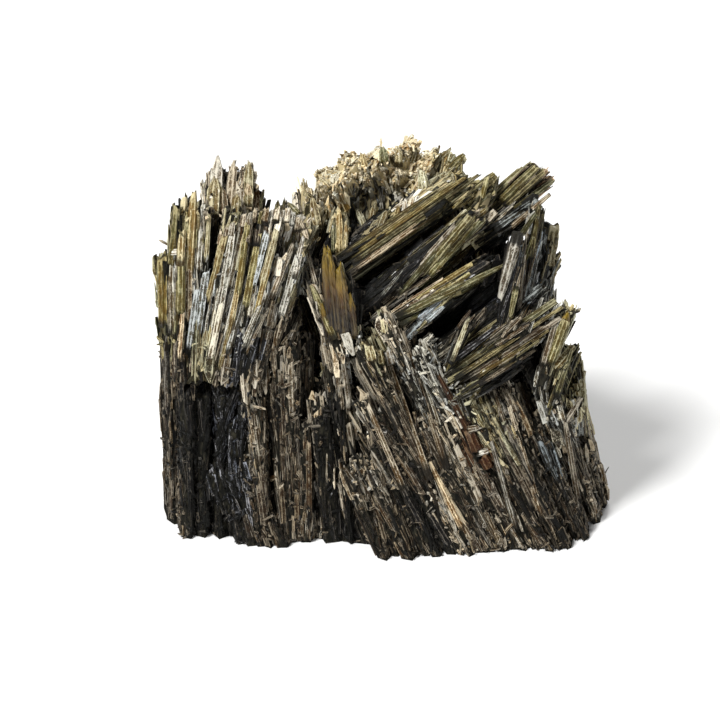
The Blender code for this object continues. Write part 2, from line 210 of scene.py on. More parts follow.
def flat_faces():
    """A face number for every triangle, and for every face its outline edges."""
    beside = defaultdict(list)
    for number, (i, j, k) in enumerate(triangles):
        for edge in ((i, j), (j, k), (k, i)):
            beside[min(edge), max(edge)].append(number)
    leader = list(range(len(triangles)))

    def lead(number):
        while leader[number] != number:
            leader[number] = leader[leader[number]]
            number = leader[number]
        return number

    for sharing in beside.values():
        if len(sharing) == 2 and normals[sharing[0]] @ normals[sharing[1]] > SAME_PLANE:
            leader[lead(sharing[0])] = lead(sharing[1])
    face_of = np.array([lead(number) for number in range(len(triangles))])
    outline = defaultdict(list)
    for edge, sharing in beside.items():
        faces = {face_of[number] for number in sharing}
        if len(sharing) != 2 or len(faces) == 2:
            for face in faces:
                outline[face].append(edge)
    return face_of, outline


def main_direction(tensor):
    """The strongest direction of a 3 by 3 tensor, pointing upwards, and how much weaker the next one is."""
    strengths, directions = np.linalg.eigh(tensor)
    along = directions[:, 2]
    return along if along[2] >= 0 else -along, strengths[1] / max(strengths[2], 1e-12)


face_of, outline = flat_faces()
face_grain = {}
long_faces = set()
for face, edges in outline.items():
    run = points[[edge[1] for edge in edges]] - points[[edge[0] for edge in edges]]
    length = np.linalg.norm(run, axis=1)
    tensor = (run.T / np.sqrt(length)) @ (run / length[:, None])
    face_grain[face], roundness = main_direction(tensor)
    members = face_of == face
    reach = np.ptp(points[triangles[members].ravel()] @ face_grain[face])
    slender = reach ** 2 > SLENDER * areas[members].sum()
    if roundness < ROUNDEST and reach > LONG_FACE and slender:
        long_faces.add(face)
print(len(face_grain), "flat faces,", len(long_faces), "of them long enough to show the grain")

# %% Give the short faces the grain around them
NEIGHBOURS = 12

centres = points[triangles].mean(axis=1)
on_long = np.array([face in long_faces for face in face_of])
long_numbers = np.flatnonzero(on_long)
long_tree = KDTree(len(long_numbers))
for number in long_numbers:
    long_tree.insert(centres[number], int(number))
long_tree.balance()
grain = np.array([face_grain[face] for face in face_of])
for number in np.flatnonzero(~on_long):
    around = [found[1] for found in long_tree.find_n(centres[number], NEIGHBOURS)]
    weights = areas[around]
    grain[number] = main_direction((grain[around].T * weights) @ grain[around])[0]
print("grain known on all", len(grain), "triangles")

# %% [markdown]
# ## Colours of the stone
#
# Fresh epidote is dark olive and glassy. Where it is bruised or coated it turns silver, cream or tan, and
# where light comes through it looks like straw or honey. Each finish is a tone: the colour of the stone,
# the colour of the crust on it, how much of it is crust, how many crystals are bare and dark, and how light
# the painted shade in its gaps stays. The two near-black tones are partly the dark stone and partly painted
# shade, set in hollows, under ledges and in shaded corners.


# %% Tones
def screen(red, green, blue):
    """The linear colour for a screen colour from 0 to 255."""
    value = np.array([red, green, blue]) / 255
    return np.where(value <= 0.04045, value / 12.92, ((value + 0.055) / 1.055) ** 2.4)


@dataclass
class Tone:
    stone: np.ndarray
    crust: np.ndarray
    share: float
    bare: float
    # how light the painted shade in the gaps stays
    gap: float


TONES = {
    "silver": Tone(screen(86, 84, 70), screen(196, 193, 180), 0.4, 0.14, 0.24),
    "olive": Tone(screen(96, 92, 50), screen(170, 160, 120), 0.26, 0.15, 0.2),
    "straw": Tone(screen(116, 107, 66), screen(192, 184, 150), 0.36, 0.1, 0.24),
    "pale": Tone(screen(142, 132, 108), screen(230, 223, 205), 0.6, 0.03, 0.4),
    "leaf": Tone(screen(117, 110, 76), screen(196, 186, 152), 0.42, 0.06, 0.36),
    "cream": Tone(screen(112, 101, 80), screen(212, 200, 176), 0.5, 0.1, 0.25),
    "tan": Tone(screen(84, 73, 52), screen(178, 167, 146), 0.32, 0.22, 0.12),
    "blade": Tone(screen(77, 72, 38), screen(154, 145, 110), 0.2, 0.2, 0.12),
    "umber": Tone(screen(56, 46, 32), screen(142, 131, 112), 0.26, 0.3, 0.09),
    "moss": Tone(screen(64, 63, 32), screen(146, 138, 104), 0.24, 0.24, 0.1),
    # Painted shade: the two near-black tones below are partly the dark stone and partly shade in hollows and
    # under ledges.
    "smoke": Tone(screen(20, 21, 24), screen(148, 149, 154), 0.08, 0.45, 0.08),
    "night": Tone(screen(4, 3, 3), screen(92, 86, 76), 0.04, 0.6, 0.06),
    "slate": Tone(screen(52, 55, 52), screen(156, 161, 158), 0.28, 0.25, 0.12),
    "rust": Tone(screen(60, 38, 20), screen(112, 90, 66), 0.15, 0.15, 0.14),
    # The pale blue-grey crust of this tone is partly a painted glint.
    "glass": Tone(screen(60, 70, 72), screen(176, 188, 190), 0.3, 0.0, 0.3),
    "cap": Tone(screen(196, 182, 142), screen(238, 227, 196), 0.5, 0.0, 0.7),
    "cinnamon": Tone(screen(108, 86, 58), screen(190, 164, 130), 0.45, 0.05, 0.3),
}
print(len(TONES), "tones")

# %% [markdown]
# ## Where each tone belongs
#
# The tones change over a few millimetres. So the sheet is dotted with places, each with a spot, a reach and
# a tone, under the name of the piece that grows there. A fine crystal takes the tone of the place nearest
# to it, measured in reaches. Streaks of colour follow the crystals, so a place reaches further along the
# grain.

# %% Places on the left pillar and the buttress: across, rise and reach in mm
PLACES = {}
PLACES["left_columns"] = [
    (-29.5, 41.0, 3.0, "olive"), (-27.0, 43.8, 2.2, "leaf"), (-28.4, 36.6, 1.3, "pale"),
    (-31.0, 31.0, 2.0, "olive"), (-28.2, 30.5, 3.2, "silver"), (-30.6, 24.0, 2.4, "olive"),
    (-29.2, 20.0, 2.4, "umber"), (-24.0, 38.0, 0.9, "night"), (-23.6, 35.0, 0.8, "night"),
    (-22.6, 46.0, 3.2, "cream"), (-20.6, 42.6, 1.3, "moss"), (-18.0, 42.8, 1.7, "cream"),
    (-14.5, 42.5, 1.8, "pale"), (-11.5, 41.0, 1.8, "cream"), (-16.9, 40.3, 1.2, "night"),
    (-14.3, 39.6, 0.9, "umber"), (-15.5, 35.8, 0.8, "night"), (-12.0, 39.0, 0.8, "night"),
    (-21.0, 38.2, 2.0, "straw"), (-16.6, 37.2, 1.8, "olive"), (-13.8, 35.6, 1.2, "pale"),
    (-21.0, 32.6, 3.6, "silver"), (-17.0, 30.5, 3.0, "silver"), (-11.0, 34.5, 2.2, "silver"),
    (-25.6, 29.0, 3.2, "silver"), (-21.0, 26.2, 2.6, "silver"), (-25.4, 22.6, 2.6, "straw"),
    (-22.4, 20.6, 2.0, "tan"), (-18.2, 25.0, 1.4, "smoke"), (-20.0, 21.8, 1.3, "smoke"),
    (-13.5, 27.6, 2.6, "tan"), (-12.6, 31.0, 1.8, "straw"), (-10.0, 29.6, 1.9, "cream"),
]
print(len(PLACES["left_columns"]), "places on the left pillar and the buttress")

# %% Places on the dark wall
PLACES["wall_columns"] = [
    (-26.5, 15.5, 3.2, "night"), (-22.5, 15.4, 2.6, "smoke"), (-22.5, 10.8, 2.4, "smoke"),
    (-26.2, 8.0, 3.3, "night"), (-30.4, 4.0, 2.4, "umber"), (-31.0, 12.0, 1.7, "umber"),
    (-22.0, 4.0, 2.8, "smoke"), (-17.4, 17.0, 2.0, "tan"), (-14.2, 13.0, 2.4, "umber"),
    (-11.4, 18.0, 2.2, "tan"), (-12.5, 7.5, 2.8, "umber"), (-17.4, 3.0, 2.4, "umber"),
    (-16.8, 9.0, 1.6, "tan"), (-14.5, -1.5, 2.4, "umber"), (-7.0, 12.5, 1.8, "night"),
    (-7.0, 7.2, 1.9, "night"), (-7.0, -0.5, 2.3, "night"), (-6.6, 4.2, 0.9, "cream"),
    (-15.0, 4.2, 0.8, "cream"), (-9.0, -3.0, 1.1, "tan"), (-8.4, 19.7, 0.8, "straw"),
    (-8.4, 17.0, 1.5, "tan"), (-8.5, 24.5, 2.2, "tan"), (-12.0, 23.0, 1.6, "umber"),
    (-23.0, -1.0, 2.2, "night"),
]
print(len(PLACES["wall_columns"]), "places on the dark wall")

# %% Places on the fan
PLACES["fan_columns"] = [
    (-5.0, 24.0, 1.3, "pale"), (-4.6, 20.0, 1.1, "cream"), (-4.2, 14.0, 1.0, "cream"),
    (-4.0, 10.0, 0.9, "cream"), (-0.4, 22.4, 1.6, "straw"), (3.0, 24.0, 1.9, "cream"),
    (5.0, 20.0, 2.0, "silver"), (7.0, 15.5, 2.0, "silver"), (1.8, 17.0, 2.2, "tan"),
    (-1.6, 17.2, 1.9, "tan"), (3.5, 11.0, 2.6, "umber"), (5.4, 12.4, 1.2, "tan"), (0.0, 9.4, 2.2, "umber"),
    (-1.6, 4.2, 2.8, "tan"), (6.0, 5.0, 2.0, "umber"), (3.9, 1.6, 1.0, "night"), (6.0, -0.6, 1.1, "night"),
    (8.4, -3.6, 1.2, "night"), (8.6, 0.6, 1.4, "cream"), (10.6, -3.0, 1.4, "cream"),
    (1.5, -2.8, 2.8, "umber"), (9.4, 11.6, 1.5, "cream"), (12.6, 9.6, 1.5, "rust"),
    (14.6, 6.6, 1.3, "rust"), (12.0, 4.8, 2.0, "tan"), (14.2, 0.8, 2.4, "umber"),
    (15.6, 12.4, 1.8, "straw"), (17.4, 8.4, 1.8, "leaf"), (19.0, 7.0, 0.9, "night"),
    (19.6, 14.4, 2.0, "tan"), (18.5, 3.0, 2.2, "umber"), (17.0, -2.4, 2.0, "tan"),
    (22.0, 9.4, 1.7, "umber"), (24.3, 7.2, 1.3, "slate"), (23.0, 2.0, 2.2, "umber"),
    (26.6, 12.0, 1.8, "silver"), (28.0, 7.0, 2.0, "tan"), (30.0, 3.0, 2.2, "tan"),
    (26.6, -2.0, 2.2, "umber"), (28.6, 14.6, 1.4, "straw"),
]
print(len(PLACES["fan_columns"]), "places on the fan")

# %% Places on the slanting blades
PLACES["blade_columns"] = [
    (-1.5, 34.6, 1.9, "blade"), (3.5, 37.8, 1.9, "blade"), (8.5, 41.4, 1.9, "blade"),
    (12.0, 44.6, 1.6, "olive"), (-2.5, 30.0, 1.7, "night"), (1.0, 32.0, 1.3, "night"),
    (4.4, 34.6, 1.0, "night"), (7.6, 37.4, 0.8, "night"), (4.0, 31.2, 1.6, "tan"),
    (8.0, 35.0, 1.9, "blade"), (12.0, 38.8, 1.8, "tan"), (10.6, 35.4, 0.9, "straw"),
    (13.4, 38.2, 0.9, "straw"), (16.8, 38.6, 1.9, "night"), (16.2, 35.2, 1.4, "night"),
    (13.0, 33.4, 0.9, "night"), (6.4, 28.2, 1.1, "slate"), (8.6, 30.6, 1.0, "olive"),
    (12.2, 32.0, 0.9, "olive"), (10.0, 27.6, 1.5, "night"), (14.0, 29.6, 1.3, "smoke"),
    (12.6, 25.6, 1.5, "umber"), (16.4, 27.0, 1.5, "night"), (18.6, 40.6, 1.5, "silver"),
    (18.6, 46.0, 1.8, "olive"), (21.6, 48.2, 1.4, "tan"), (23.6, 46.6, 1.3, "cinnamon"),
    (25.0, 44.4, 1.4, "tan"), (22.4, 43.0, 1.5, "silver"), (23.4, 40.4, 1.4, "moss"),
    (22.8, 37.4, 1.1, "slate"), (25.0, 36.6, 1.5, "leaf"), (21.2, 34.0, 1.2, "tan"),
    (22.2, 31.6, 1.7, "slate"), (17.6, 30.4, 1.4, "smoke"), (12.4, 20.4, 1.6, "olive"),
    (16.0, 23.0, 2.0, "blade"), (20.0, 25.4, 2.0, "tan"), (24.0, 28.0, 1.8, "silver"),
    (20.2, 19.2, 1.5, "night"), (25.0, 22.0, 1.5, "straw"), (26.0, 26.4, 1.3, "straw"),
    (25.6, 19.4, 1.4, "moss"), (27.2, 16.4, 1.5, "moss"), (23.4, 17.4, 1.4, "silver"),
]
print(len(PLACES["blade_columns"]), "places on the slanting blades")

# %% Places on the ridge
PLACES["ridge_columns"] = [
    (-9.0, 42.6, 1.7, "cap"), (-7.6, 44.8, 1.5, "cap"), (-11.0, 41.6, 1.5, "moss"),
    (-10.6, 38.4, 1.8, "leaf"), (-8.6, 40.0, 1.5, "leaf"), (-9.2, 34.4, 1.6, "night"),
    (-7.6, 37.2, 0.9, "night"), (-10.6, 45.4, 1.6, "cap"), (-5.6, 46.8, 1.9, "cap"),
    (-2.0, 48.4, 2.4, "cap"), (2.0, 50.0, 2.2, "cap"), (1.0, 47.0, 1.5, "cap"), (5.5, 49.5, 2.0, "cap"),
    (-3.4, 44.0, 1.2, "silver"), (0.2, 44.8, 1.0, "silver"), (3.0, 45.6, 1.2, "cap"),
    (-5.6, 40.4, 1.0, "leaf"), (-3.4, 38.4, 1.3, "night"), (-1.4, 41.6, 1.2, "leaf"),
    (1.2, 41.2, 1.0, "moss"), (3.8, 43.2, 1.0, "pale"), (6.2, 45.8, 1.0, "straw"),
    (9.4, 49.0, 1.7, "straw"), (12.0, 49.6, 1.5, "olive"),
]
print(len(PLACES["ridge_columns"]), "places on the ridge")

# %% Find the nearest place
STRETCH = 1.7

place_rows = [row for rows in PLACES.values() for row in rows]
place_spot = np.array([row[:2] for row in place_rows])
place_reach = np.array([row[2] for row in place_rows])
place_tone = np.array([row[3] for row in place_rows])
place_piece = np.array([piece for piece, rows in PLACES.items() for row in rows])


def nearest_place(seen, heading):
    """The number of the place that each point on the sheet belongs to, given how the grain runs there."""
    gap = seen[:, None] - place_spot[None]
    along = (gap * heading[:, None]).sum(axis=2)
    aside = gap[:, :, 0] * heading[:, None, 1] - gap[:, :, 1] * heading[:, None, 0]
    return (np.hypot(along / STRETCH, aside) / place_reach).argmin(axis=1)


print(len(place_spot), "places of colour")

# %% [markdown]
# ## The crystals that catch the eye
#
# Most crystals are one of many, but some give the specimen its face: the pale spires on the left, the ribs
# of the buttress, the long blades at the upper right, the leaves along the ridge. Each is listed one by one:
# where its root and its tip lie on the sheet, how wide it is, its tone, and whether it ends in a point or
# is cut blunt. Where it matters, two more lengths follow: how far it stands proud of the stone, and how far
# under it its depth is read, because a rim has nothing behind it. Dark ribs under an arch, a row of short
# pale blocks and a chain down the right side make up the rim of the buttress.


# %% What is told of a single crystal, in mm
@dataclass
class Single:
    root: tuple
    tip: tuple
    width: float
    tone: str
    point: float
    proud: float = 0.35
    under: float = 0.0


LAID_BY_HAND = {}


def tell(*pieces):
    """Prints how many crystals these pieces have."""
    for piece in pieces:
        print(piece, "has", len(LAID_BY_HAND[piece]), "crystals laid by hand")


print("a single crystal is told in", len(Single.__dataclass_fields__), "values")

# %% Spires and ribs of the left pillar: across and rise of root and tip, width, tone and point
LAID_BY_HAND["spires"] = [
    (-23.9, 41.4, -23.5, 46.9, 2.4, "leaf", 0.75), (-23.4, 42.0, -23.2, 50.1, 1.8, "cream", 0.85),
    (-22.2, 41.6, -22.5, 45.6, 1.4, "tan", 0.9), (-21.6, 42.2, -20.9, 49.4, 1.5, "cream", 0.85),
    (-20.6, 41.2, -20.4, 44.6, 1.3, "leaf", 0.9), (-19.0, 41.8, -18.8, 46.2, 1.8, "cream", 0.7),
    (-18.9, 42.4, -18.7, 49.3, 1.5, "leaf", 0.85), (-17.9, 41.6, -17.6, 45.6, 1.2, "tan", 0.9),
    (-17.4, 41.9, -16.6, 45.4, 0.6, "moss", 0.92), (-14.9, 40.6, -14.6, 43.8, 0.9, "moss", 0.92, 0.35, 1.5),
    (-14.0, 40.6, -13.7, 44.2, 0.5, "moss", 0.92, 0.35, 1.5),
]
LAID_BY_HAND["pillar_ribs"] = [
    (-29.9, 33.6, -29.1, 42.6, 1.4, "olive", 0.0), (-28.6, 34.4, -28.0, 43.8, 1.2, "leaf", 0.2),
    (-27.4, 32.2, -26.6, 44.9, 1.4, "leaf", 0.5), (-26.1, 33.0, -25.3, 43.0, 1.1, "silver", 0.2),
    (-24.9, 34.8, -24.4, 41.8, 0.7, "straw", 0.1), (-31.0, 25.3, -31.1, 35.6, 1.4, "olive", 0.0),
    (-29.8, 24.4, -29.9, 35.4, 1.1, "silver", 0.0), (-28.6, 26.8, -28.4, 35.9, 1.3, "olive", 0.0),
    (-27.4, 25.6, -27.3, 34.4, 1.1, "tan", 0.1), (-30.6, 36.3, -28.3, 36.5, 0.8, "pale", 0.1, 0.2),
    (-27.4, 22.0, -26.2, 31.0, 1.0, "silver", 0.2), (-26.2, 24.0, -24.8, 33.6, 1.1, "silver", 0.2),
    (-28.9, 20.6, -28.2, 28.2, 0.9, "cream", 0.3),
]
tell("spires", "pillar_ribs")

# %% Ribs and rim of the buttress
ARCH_TOP = (-15.6, 42.0)
ARCH_FALL = 0.11
RIM_RIBS = np.arange(-21.0, -10.9, 1.25)
RIM_RIB_FOOT = 37.4
RIM_ENDS = [
    (-22.6, 39.2, 0.9, "cream"), (-21.9, 39.9, 0.7, "tan"), (-21.1, 40.5, 1.0, "cream"),
    (-20.2, 41.1, 0.8, "cream"), (-19.4, 41.8, 1.0, "cream"), (-18.5, 42.0, 0.7, "tan"),
    (-17.8, 42.4, 0.9, "cream"), (-17.0, 42.2, 0.7, "moss"), (-16.3, 42.6, 1.0, "tan"),
    (-15.4, 42.4, 0.8, "cream"), (-14.6, 42.8, 1.0, "cream"), (-13.8, 42.4, 0.7, "cream"),
    (-13.1, 42.5, 0.9, "cream"), (-12.4, 42.0, 0.8, "silver"), (-11.7, 41.4, 0.9, "cream"),
]
RIM_END_LENGTH = 2.0
RIM_SIDE = [(-11.5, 41.0), (-10.9, 39.7), (-10.5, 38.4), (-10.2, 36.9)]


def arch(across):
    """How high the dark ribs of the rim reach."""
    return ARCH_TOP[1] - ARCH_FALL * abs(across - ARCH_TOP[0]) ** 1.75


LAID_BY_HAND["buttress_ribs"] = [
    (-24.6, 28.4, -22.2, 38.6, 1.3, "straw", 0.2), (-23.2, 26.6, -21.1, 39.3, 1.1, "silver", 0.2),
    (-22.1, 30.4, -20.1, 40.2, 1.2, "silver", 0.1), (-20.5, 29.0, -18.9, 40.6, 1.1, "olive", 0.1),
    (-21.4, 25.4, -19.6, 35.6, 0.9, "leaf", 0.3), (-19.4, 27.6, -17.3, 38.9, 1.2, "olive", 0.2),
    (-18.5, 30.6, -16.2, 39.2, 1.0, "silver", 0.2), (-18.0, 26.2, -15.6, 36.4, 1.0, "straw", 0.3),
    (-17.0, 31.2, -14.8, 39.5, 1.2, "leaf", 0.2), (-16.8, 28.6, -12.9, 39.9, 1.1, "pale", 0.2),
    (-15.6, 29.8, -12.5, 37.6, 0.8, "cream", 0.3), (-14.4, 26.6, -11.9, 35.6, 1.0, "silver", 0.3),
    (-12.3, 32.6, -11.0, 38.7, 0.9, "cream", 0.3), (-9.1, 31.4, -10.6, 36.9, 0.8, "cream", 0.4),
    (-24.4, 20.4, -22.6, 29.4, 1.0, "silver", 0.3), (-23.2, 18.9, -20.8, 28.2, 0.8, "straw", 0.3),
    (-21.7, 18.7, -17.3, 28.7, 0.7, "silver", 0.4), (-20.9, 18.7, -15.9, 28.4, 0.7, "tan", 0.4),
    (-22.0, 21.6, -19.6, 30.4, 0.9, "silver", 0.2), (-19.6, 22.4, -16.4, 30.9, 0.9, "silver", 0.3),
    (-10.9, 24.0, -12.4, 31.4, 1.2, "straw", 0.4), (-6.5, 23.9, -9.9, 31.7, 1.1, "olive", 0.5),
    (-5.8, 23.9, -9.2, 31.7, 0.4, "pale", 0.4), (-9.0, 23.6, -11.2, 30.0, 1.3, "leaf", 0.6),
]
LAID_BY_HAND["buttress_rim"] = [
    *((rim - 0.5, RIM_RIB_FOOT, rim, arch(rim), 0.9, "umber", 0.4, 0.0) for rim in RIM_RIBS),
    *((rim - 0.3, height - RIM_END_LENGTH, rim, height, width, tone, 0.25, 0.4, 1.3)
      for rim, height, width, tone in RIM_ENDS),
    *((*low, *high, 0.8, "cream", 0.4, 0.2, 1.3) for low, high in zip(RIM_SIDE, RIM_SIDE[1:])),
]
tell("buttress_ribs", "buttress_rim")

# %% Leaves of the ridge
LAID_BY_HAND["ridge_leaves"] = [
    (-8.9, 39.6, -9.7, 44.0, 1.5, "leaf", 0.7), (-8.0, 39.3, -7.7, 43.0, 1.1, "leaf", 0.8),
    (-5.9, 35.9, -5.9, 42.6, 1.2, "leaf", 0.7), (-6.6, 35.9, -6.7, 40.9, 0.9, "moss", 0.7),
    (-5.0, 35.9, -4.9, 40.7, 0.8, "leaf", 0.7), (-1.9, 39.3, -3.4, 42.6, 0.9, "leaf", 0.7),
    (-1.3, 39.6, -1.1, 42.9, 1.2, "leaf", 0.8), (-0.3, 39.1, 0.9, 42.3, 1.2, "leaf", 0.6),
    (1.9, 40.4, 2.7, 43.0, 0.8, "straw", 0.8), (3.3, 41.6, 3.6, 44.0, 0.7, "pale", 0.7),
    (4.1, 42.1, 4.6, 44.4, 0.7, "pale", 0.7), (6.6, 43.9, 5.9, 47.9, 1.6, "straw", 0.6),
    (7.1, 47.9, 10.0, 50.8, 1.6, "straw", 0.5), (9.4, 47.6, 11.9, 50.3, 1.2, "olive", 0.5),
    (4.3, 48.9, 5.0, 50.9, 1.0, "leaf", 0.7), (0.7, 48.9, 0.3, 51.4, 1.5, "olive", 0.7),
    (2.6, 48.9, 2.6, 51.2, 1.2, "leaf", 0.7), (-2.1, 48.1, -2.7, 50.5, 1.0, "leaf", 0.7),
    (-7.1, 45.3, -8.6, 47.0, 1.0, "leaf", 0.7), (-9.1, 43.1, -10.9, 45.0, 1.0, "leaf", 0.7),
    (-11.4, 41.7, -13.1, 43.4, 0.8, "moss", 0.7),
]
tell("ridge_leaves")

# %% Slanting blades in the middle
LAID_BY_HAND["upper_blades"] = [
    (-6.0, 35.5, 8.1, 45.2, 0.9, "blade", 0.4), (-5.6, 34.7, 12.1, 47.1, 0.8, "olive", 0.3),
    (-5.3, 33.9, 14.0, 47.4, 0.9, "blade", 0.4), (-5.0, 33.0, 13.4, 45.9, 0.8, "tan", 0.3),
    (-4.6, 32.3, 12.9, 44.0, 0.7, "umber", 0.3), (-2.9, 32.4, 9.3, 40.7, 0.6, "blade", 0.5),
    (2.3, 28.9, 12.9, 41.6, 1.2, "blade", 0.1), (1.7, 30.1, 10.7, 40.3, 0.9, "tan", 0.2),
    (3.6, 29.6, 14.3, 40.7, 1.2, "olive", 0.1), (9.6, 35.0, 15.1, 40.4, 1.0, "straw", 0.2),
    (5.0, 30.7, 14.0, 38.1, 0.9, "blade", 0.2), (2.9, 29.3, 13.6, 41.2, 1.1, "moss", 0.1),
    (2.0, 29.6, 11.8, 41.0, 1.0, "blade", 0.1), (4.4, 30.1, 14.4, 39.4, 1.1, "olive", 0.1),
    (6.4, 32.4, 13.2, 40.2, 1.0, "olive", 0.2), (11.2, 37.6, 14.9, 40.9, 0.9, "straw", 0.2),
    (12.0, 36.4, 14.8, 39.2, 0.8, "straw", 0.3), (9.6, 39.6, 12.2, 42.2, 1.0, "leaf", 0.3),
    (-0.3, 29.6, 5.7, 36.7, 0.6, "slate", 0.4), (12.9, 40.7, 15.3, 42.7, 0.8, "straw", 0.4),
    (14.4, 43.6, 15.3, 47.2, 0.9, "olive", 0.1), (15.9, 43.9, 16.6, 47.0, 1.0, "leaf", 0.1),
    (-4.2, 31.4, 7.4, 39.0, 0.5, "umber", 0.5),
]
LAID_BY_HAND["lower_blades"] = [
    (2.1, 27.0, 18.7, 35.1, 1.1, "blade", 0.8), (2.9, 26.1, 15.1, 32.7, 0.8, "olive", 0.7),
    (9.6, 28.0, 14.3, 31.9, 0.7, "tan", 0.6), (10.3, 26.0, 17.1, 30.1, 0.6, "smoke", 0.6),
    (9.7, 19.0, 25.1, 29.5, 1.1, "blade", 0.1), (10.7, 18.4, 26.0, 28.6, 0.8, "moss", 0.1),
    (11.7, 18.1, 25.7, 27.0, 0.9, "tan", 0.1), (12.9, 18.1, 24.0, 25.3, 0.8, "blade", 0.2),
    (14.3, 17.6, 22.1, 22.4, 0.6, "umber", 0.3), (10.0, 20.7, 22.9, 30.1, 0.9, "smoke", 0.3),
    (10.3, 21.0, 12.7, 27.3, 0.7, "leaf", 0.6, 1.0),
]
tell("upper_blades", "lower_blades")

# %% Blades of the right corner
LAID_BY_HAND["corner_blades"] = [
    (16.7, 43.3, 22.3, 48.6, 1.2, "olive", 0.1), (17.6, 42.7, 23.3, 47.9, 1.1, "moss", 0.1),
    (18.3, 41.9, 24.4, 46.4, 1.1, "blade", 0.1), (16.6, 39.9, 22.3, 43.9, 1.2, "slate", 0.1),
    (17.9, 39.3, 24.2, 44.6, 0.9, "tan", 0.1), (19.6, 38.1, 23.0, 43.0, 0.8, "moss", 0.3),
    (22.4, 46.8, 23.7, 48.2, 1.0, "cinnamon", 0.2), (23.4, 45.5, 24.8, 46.8, 0.9, "cinnamon", 0.2),
    (19.4, 38.4, 17.1, 29.9, 1.6, "tan", 0.3, 1.0), (19.4, 31.4, 18.5, 27.1, 0.8, "olive", 0.4, 1.0),
    (21.4, 35.0, 22.7, 43.0, 1.0, "moss", 0.4), (20.6, 35.0, 21.9, 38.7, 0.7, "olive", 0.4),
    (23.9, 33.6, 24.8, 40.2, 1.6, "leaf", 0.2), (24.1, 20.1, 26.5, 26.6, 1.3, "olive", 0.1),
    (23.3, 19.9, 25.1, 26.4, 1.2, "tan", 0.2), (25.1, 15.6, 27.3, 22.4, 1.2, "moss", 0.3),
    (26.1, 11.7, 28.6, 15.6, 1.1, "tan", 0.3),
]
tell("corner_blades")

# %% Ribs of the fan, and a few glassy strokes
LAID_BY_HAND["fan_ribs"] = [
    (-4.2, 16.6, -5.1, 24.2, 0.7, "pale", 0.3), (-3.3, 9.6, -4.3, 17.6, 0.5, "cream", 0.3),
    (9.6, 5.3, 3.1, 24.8, 1.1, "tan", 0.1), (10.7, 5.3, 4.7, 22.4, 0.8, "silver", 0.2),
    (7.1, 3.9, 0.7, 22.1, 1.0, "tan", 0.2), (13.9, 7.6, 12.6, 10.8, 1.7, "rust", 0.0),
    (12.3, 11.0, 14.2, 11.4, 1.0, "cream", 0.5, 0.7), (15.7, 5.3, 14.6, 7.3, 1.5, "rust", 0.0),
    (13.9, 7.7, 15.5, 8.1, 0.9, "cream", 0.5, 0.7), (-1.1, 20.7, -1.7, 23.0, 1.4, "straw", 0.1),
    (0.0, 20.1, -0.4, 22.4, 1.4, "straw", 0.1), (1.7, 20.1, 1.1, 22.4, 1.3, "pale", 0.1),
    (-15.9, 4.0, -14.5, 4.4, 0.9, "tan", 0.4), (12.0, -4.0, 7.0, 6.4, 1.1, "cream", 0.3),
    (19.6, -4.0, 15.8, 9.4, 0.9, "tan", 0.3), (3.6, 2.0, -1.8, 14.6, 1.0, "tan", 0.3),
    (23.4, -2.6, 18.4, 14.4, 0.9, "tan", 0.3), (28.4, 0.0, 26.4, 12.2, 0.9, "tan", 0.3),
]
# The glassy strokes sit on faces that glint: their pale blue-grey is partly a painted glint, and their
# material is glossier.
LAID_BY_HAND["glassy_strokes"] = [
    (22.0, 35.6, 23.0, 39.3, 0.8, "glass", 0.3), (22.7, 35.4, 23.7, 38.7, 0.6, "glass", 0.3),
    (5.1, 26.6, 8.4, 29.4, 1.1, "glass", 0.5), (6.4, 26.4, 9.0, 28.6, 0.8, "glass", 0.5),
]
tell("fan_ribs", "glassy_strokes")

# %% Gather the single crystals
SINGLES = {piece: [Single(row[:2], row[2:4], *row[4:]) for row in rows]
           for piece, rows in LAID_BY_HAND.items()}
print(sum(len(rows) for rows in SINGLES.values()), "single crystals")


# %% Find how deep each single crystal lies
MOST_LEAN = 0.6
IN_FRONT_OF = 0.35
MOST_CLEAR = 0.7
ON_CRYSTAL = (0.0, 0.2, 0.4, 0.6, 0.8, 1.0)
BELOW_ROOT = (-0.4, -1.0, -2.0)
FEWEST_DEPTHS = 3


def seen_depth(across, rise):
    """The depth y of the surface that is seen at a point of the sheet, or None where there is none."""
    sight = from_sheet(across, rise, 0.0) - eye
    found = surface.ray_cast(Vector(eye), Vector(sight).normalized())[0]
    return None if found is None else found.y


def laid_out(single):
    """The root and tip of a single crystal in mm, in front of most of the surface that it covers."""
    root, tip = np.array(single.root), np.array(single.tip)
    reach = math.dist(root, tip)
    looks = [(share, seen_depth(*(root + (tip - root) * share - [0, single.under])))
             for share in ON_CRYSTAL + BELOW_ROOT]
    shares, depths = np.array([look for look in looks if look[1] is not None]).T
    covered = (shares >= 0) & (shares <= 1)
    if covered.sum() < FEWEST_DEPTHS:
        covered[:] = True
    enough = covered.sum() >= FEWEST_DEPTHS
    lean = np.polyfit(shares[covered], depths[covered], 1)[0] if enough else 0.0
    lean = np.clip(lean, -MOST_LEAN * reach, MOST_LEAN * reach)
    root_y = np.quantile(depths[covered] - lean * shares[covered], IN_FRONT_OF)
    ends = np.array([from_sheet(*root, root_y), from_sheet(*tip, root_y + lean)]) + sheet_out * single.proud
    spots_along = ends[0] + np.array(ON_CRYSTAL)[:, None] * (ends[1] - ends[0])
    clear = min(surface.find_nearest(Vector(spot))[3] for spot in spots_along)
    return ends - sheet_out * max(clear - MOST_CLEAR, 0.0)


single_rows = [single for rows in SINGLES.values() for single in rows]
single_piece = np.array([piece for piece, rows in SINGLES.items() for row in rows])
single_ends = np.array([laid_out(single) for single in single_rows])
single_width = np.array([single.width for single in single_rows])
print("single crystals lie between", single_ends[:, :, 1].min().round(1), "and",
      single_ends[:, :, 1].max().round(1), "mm from the middle")

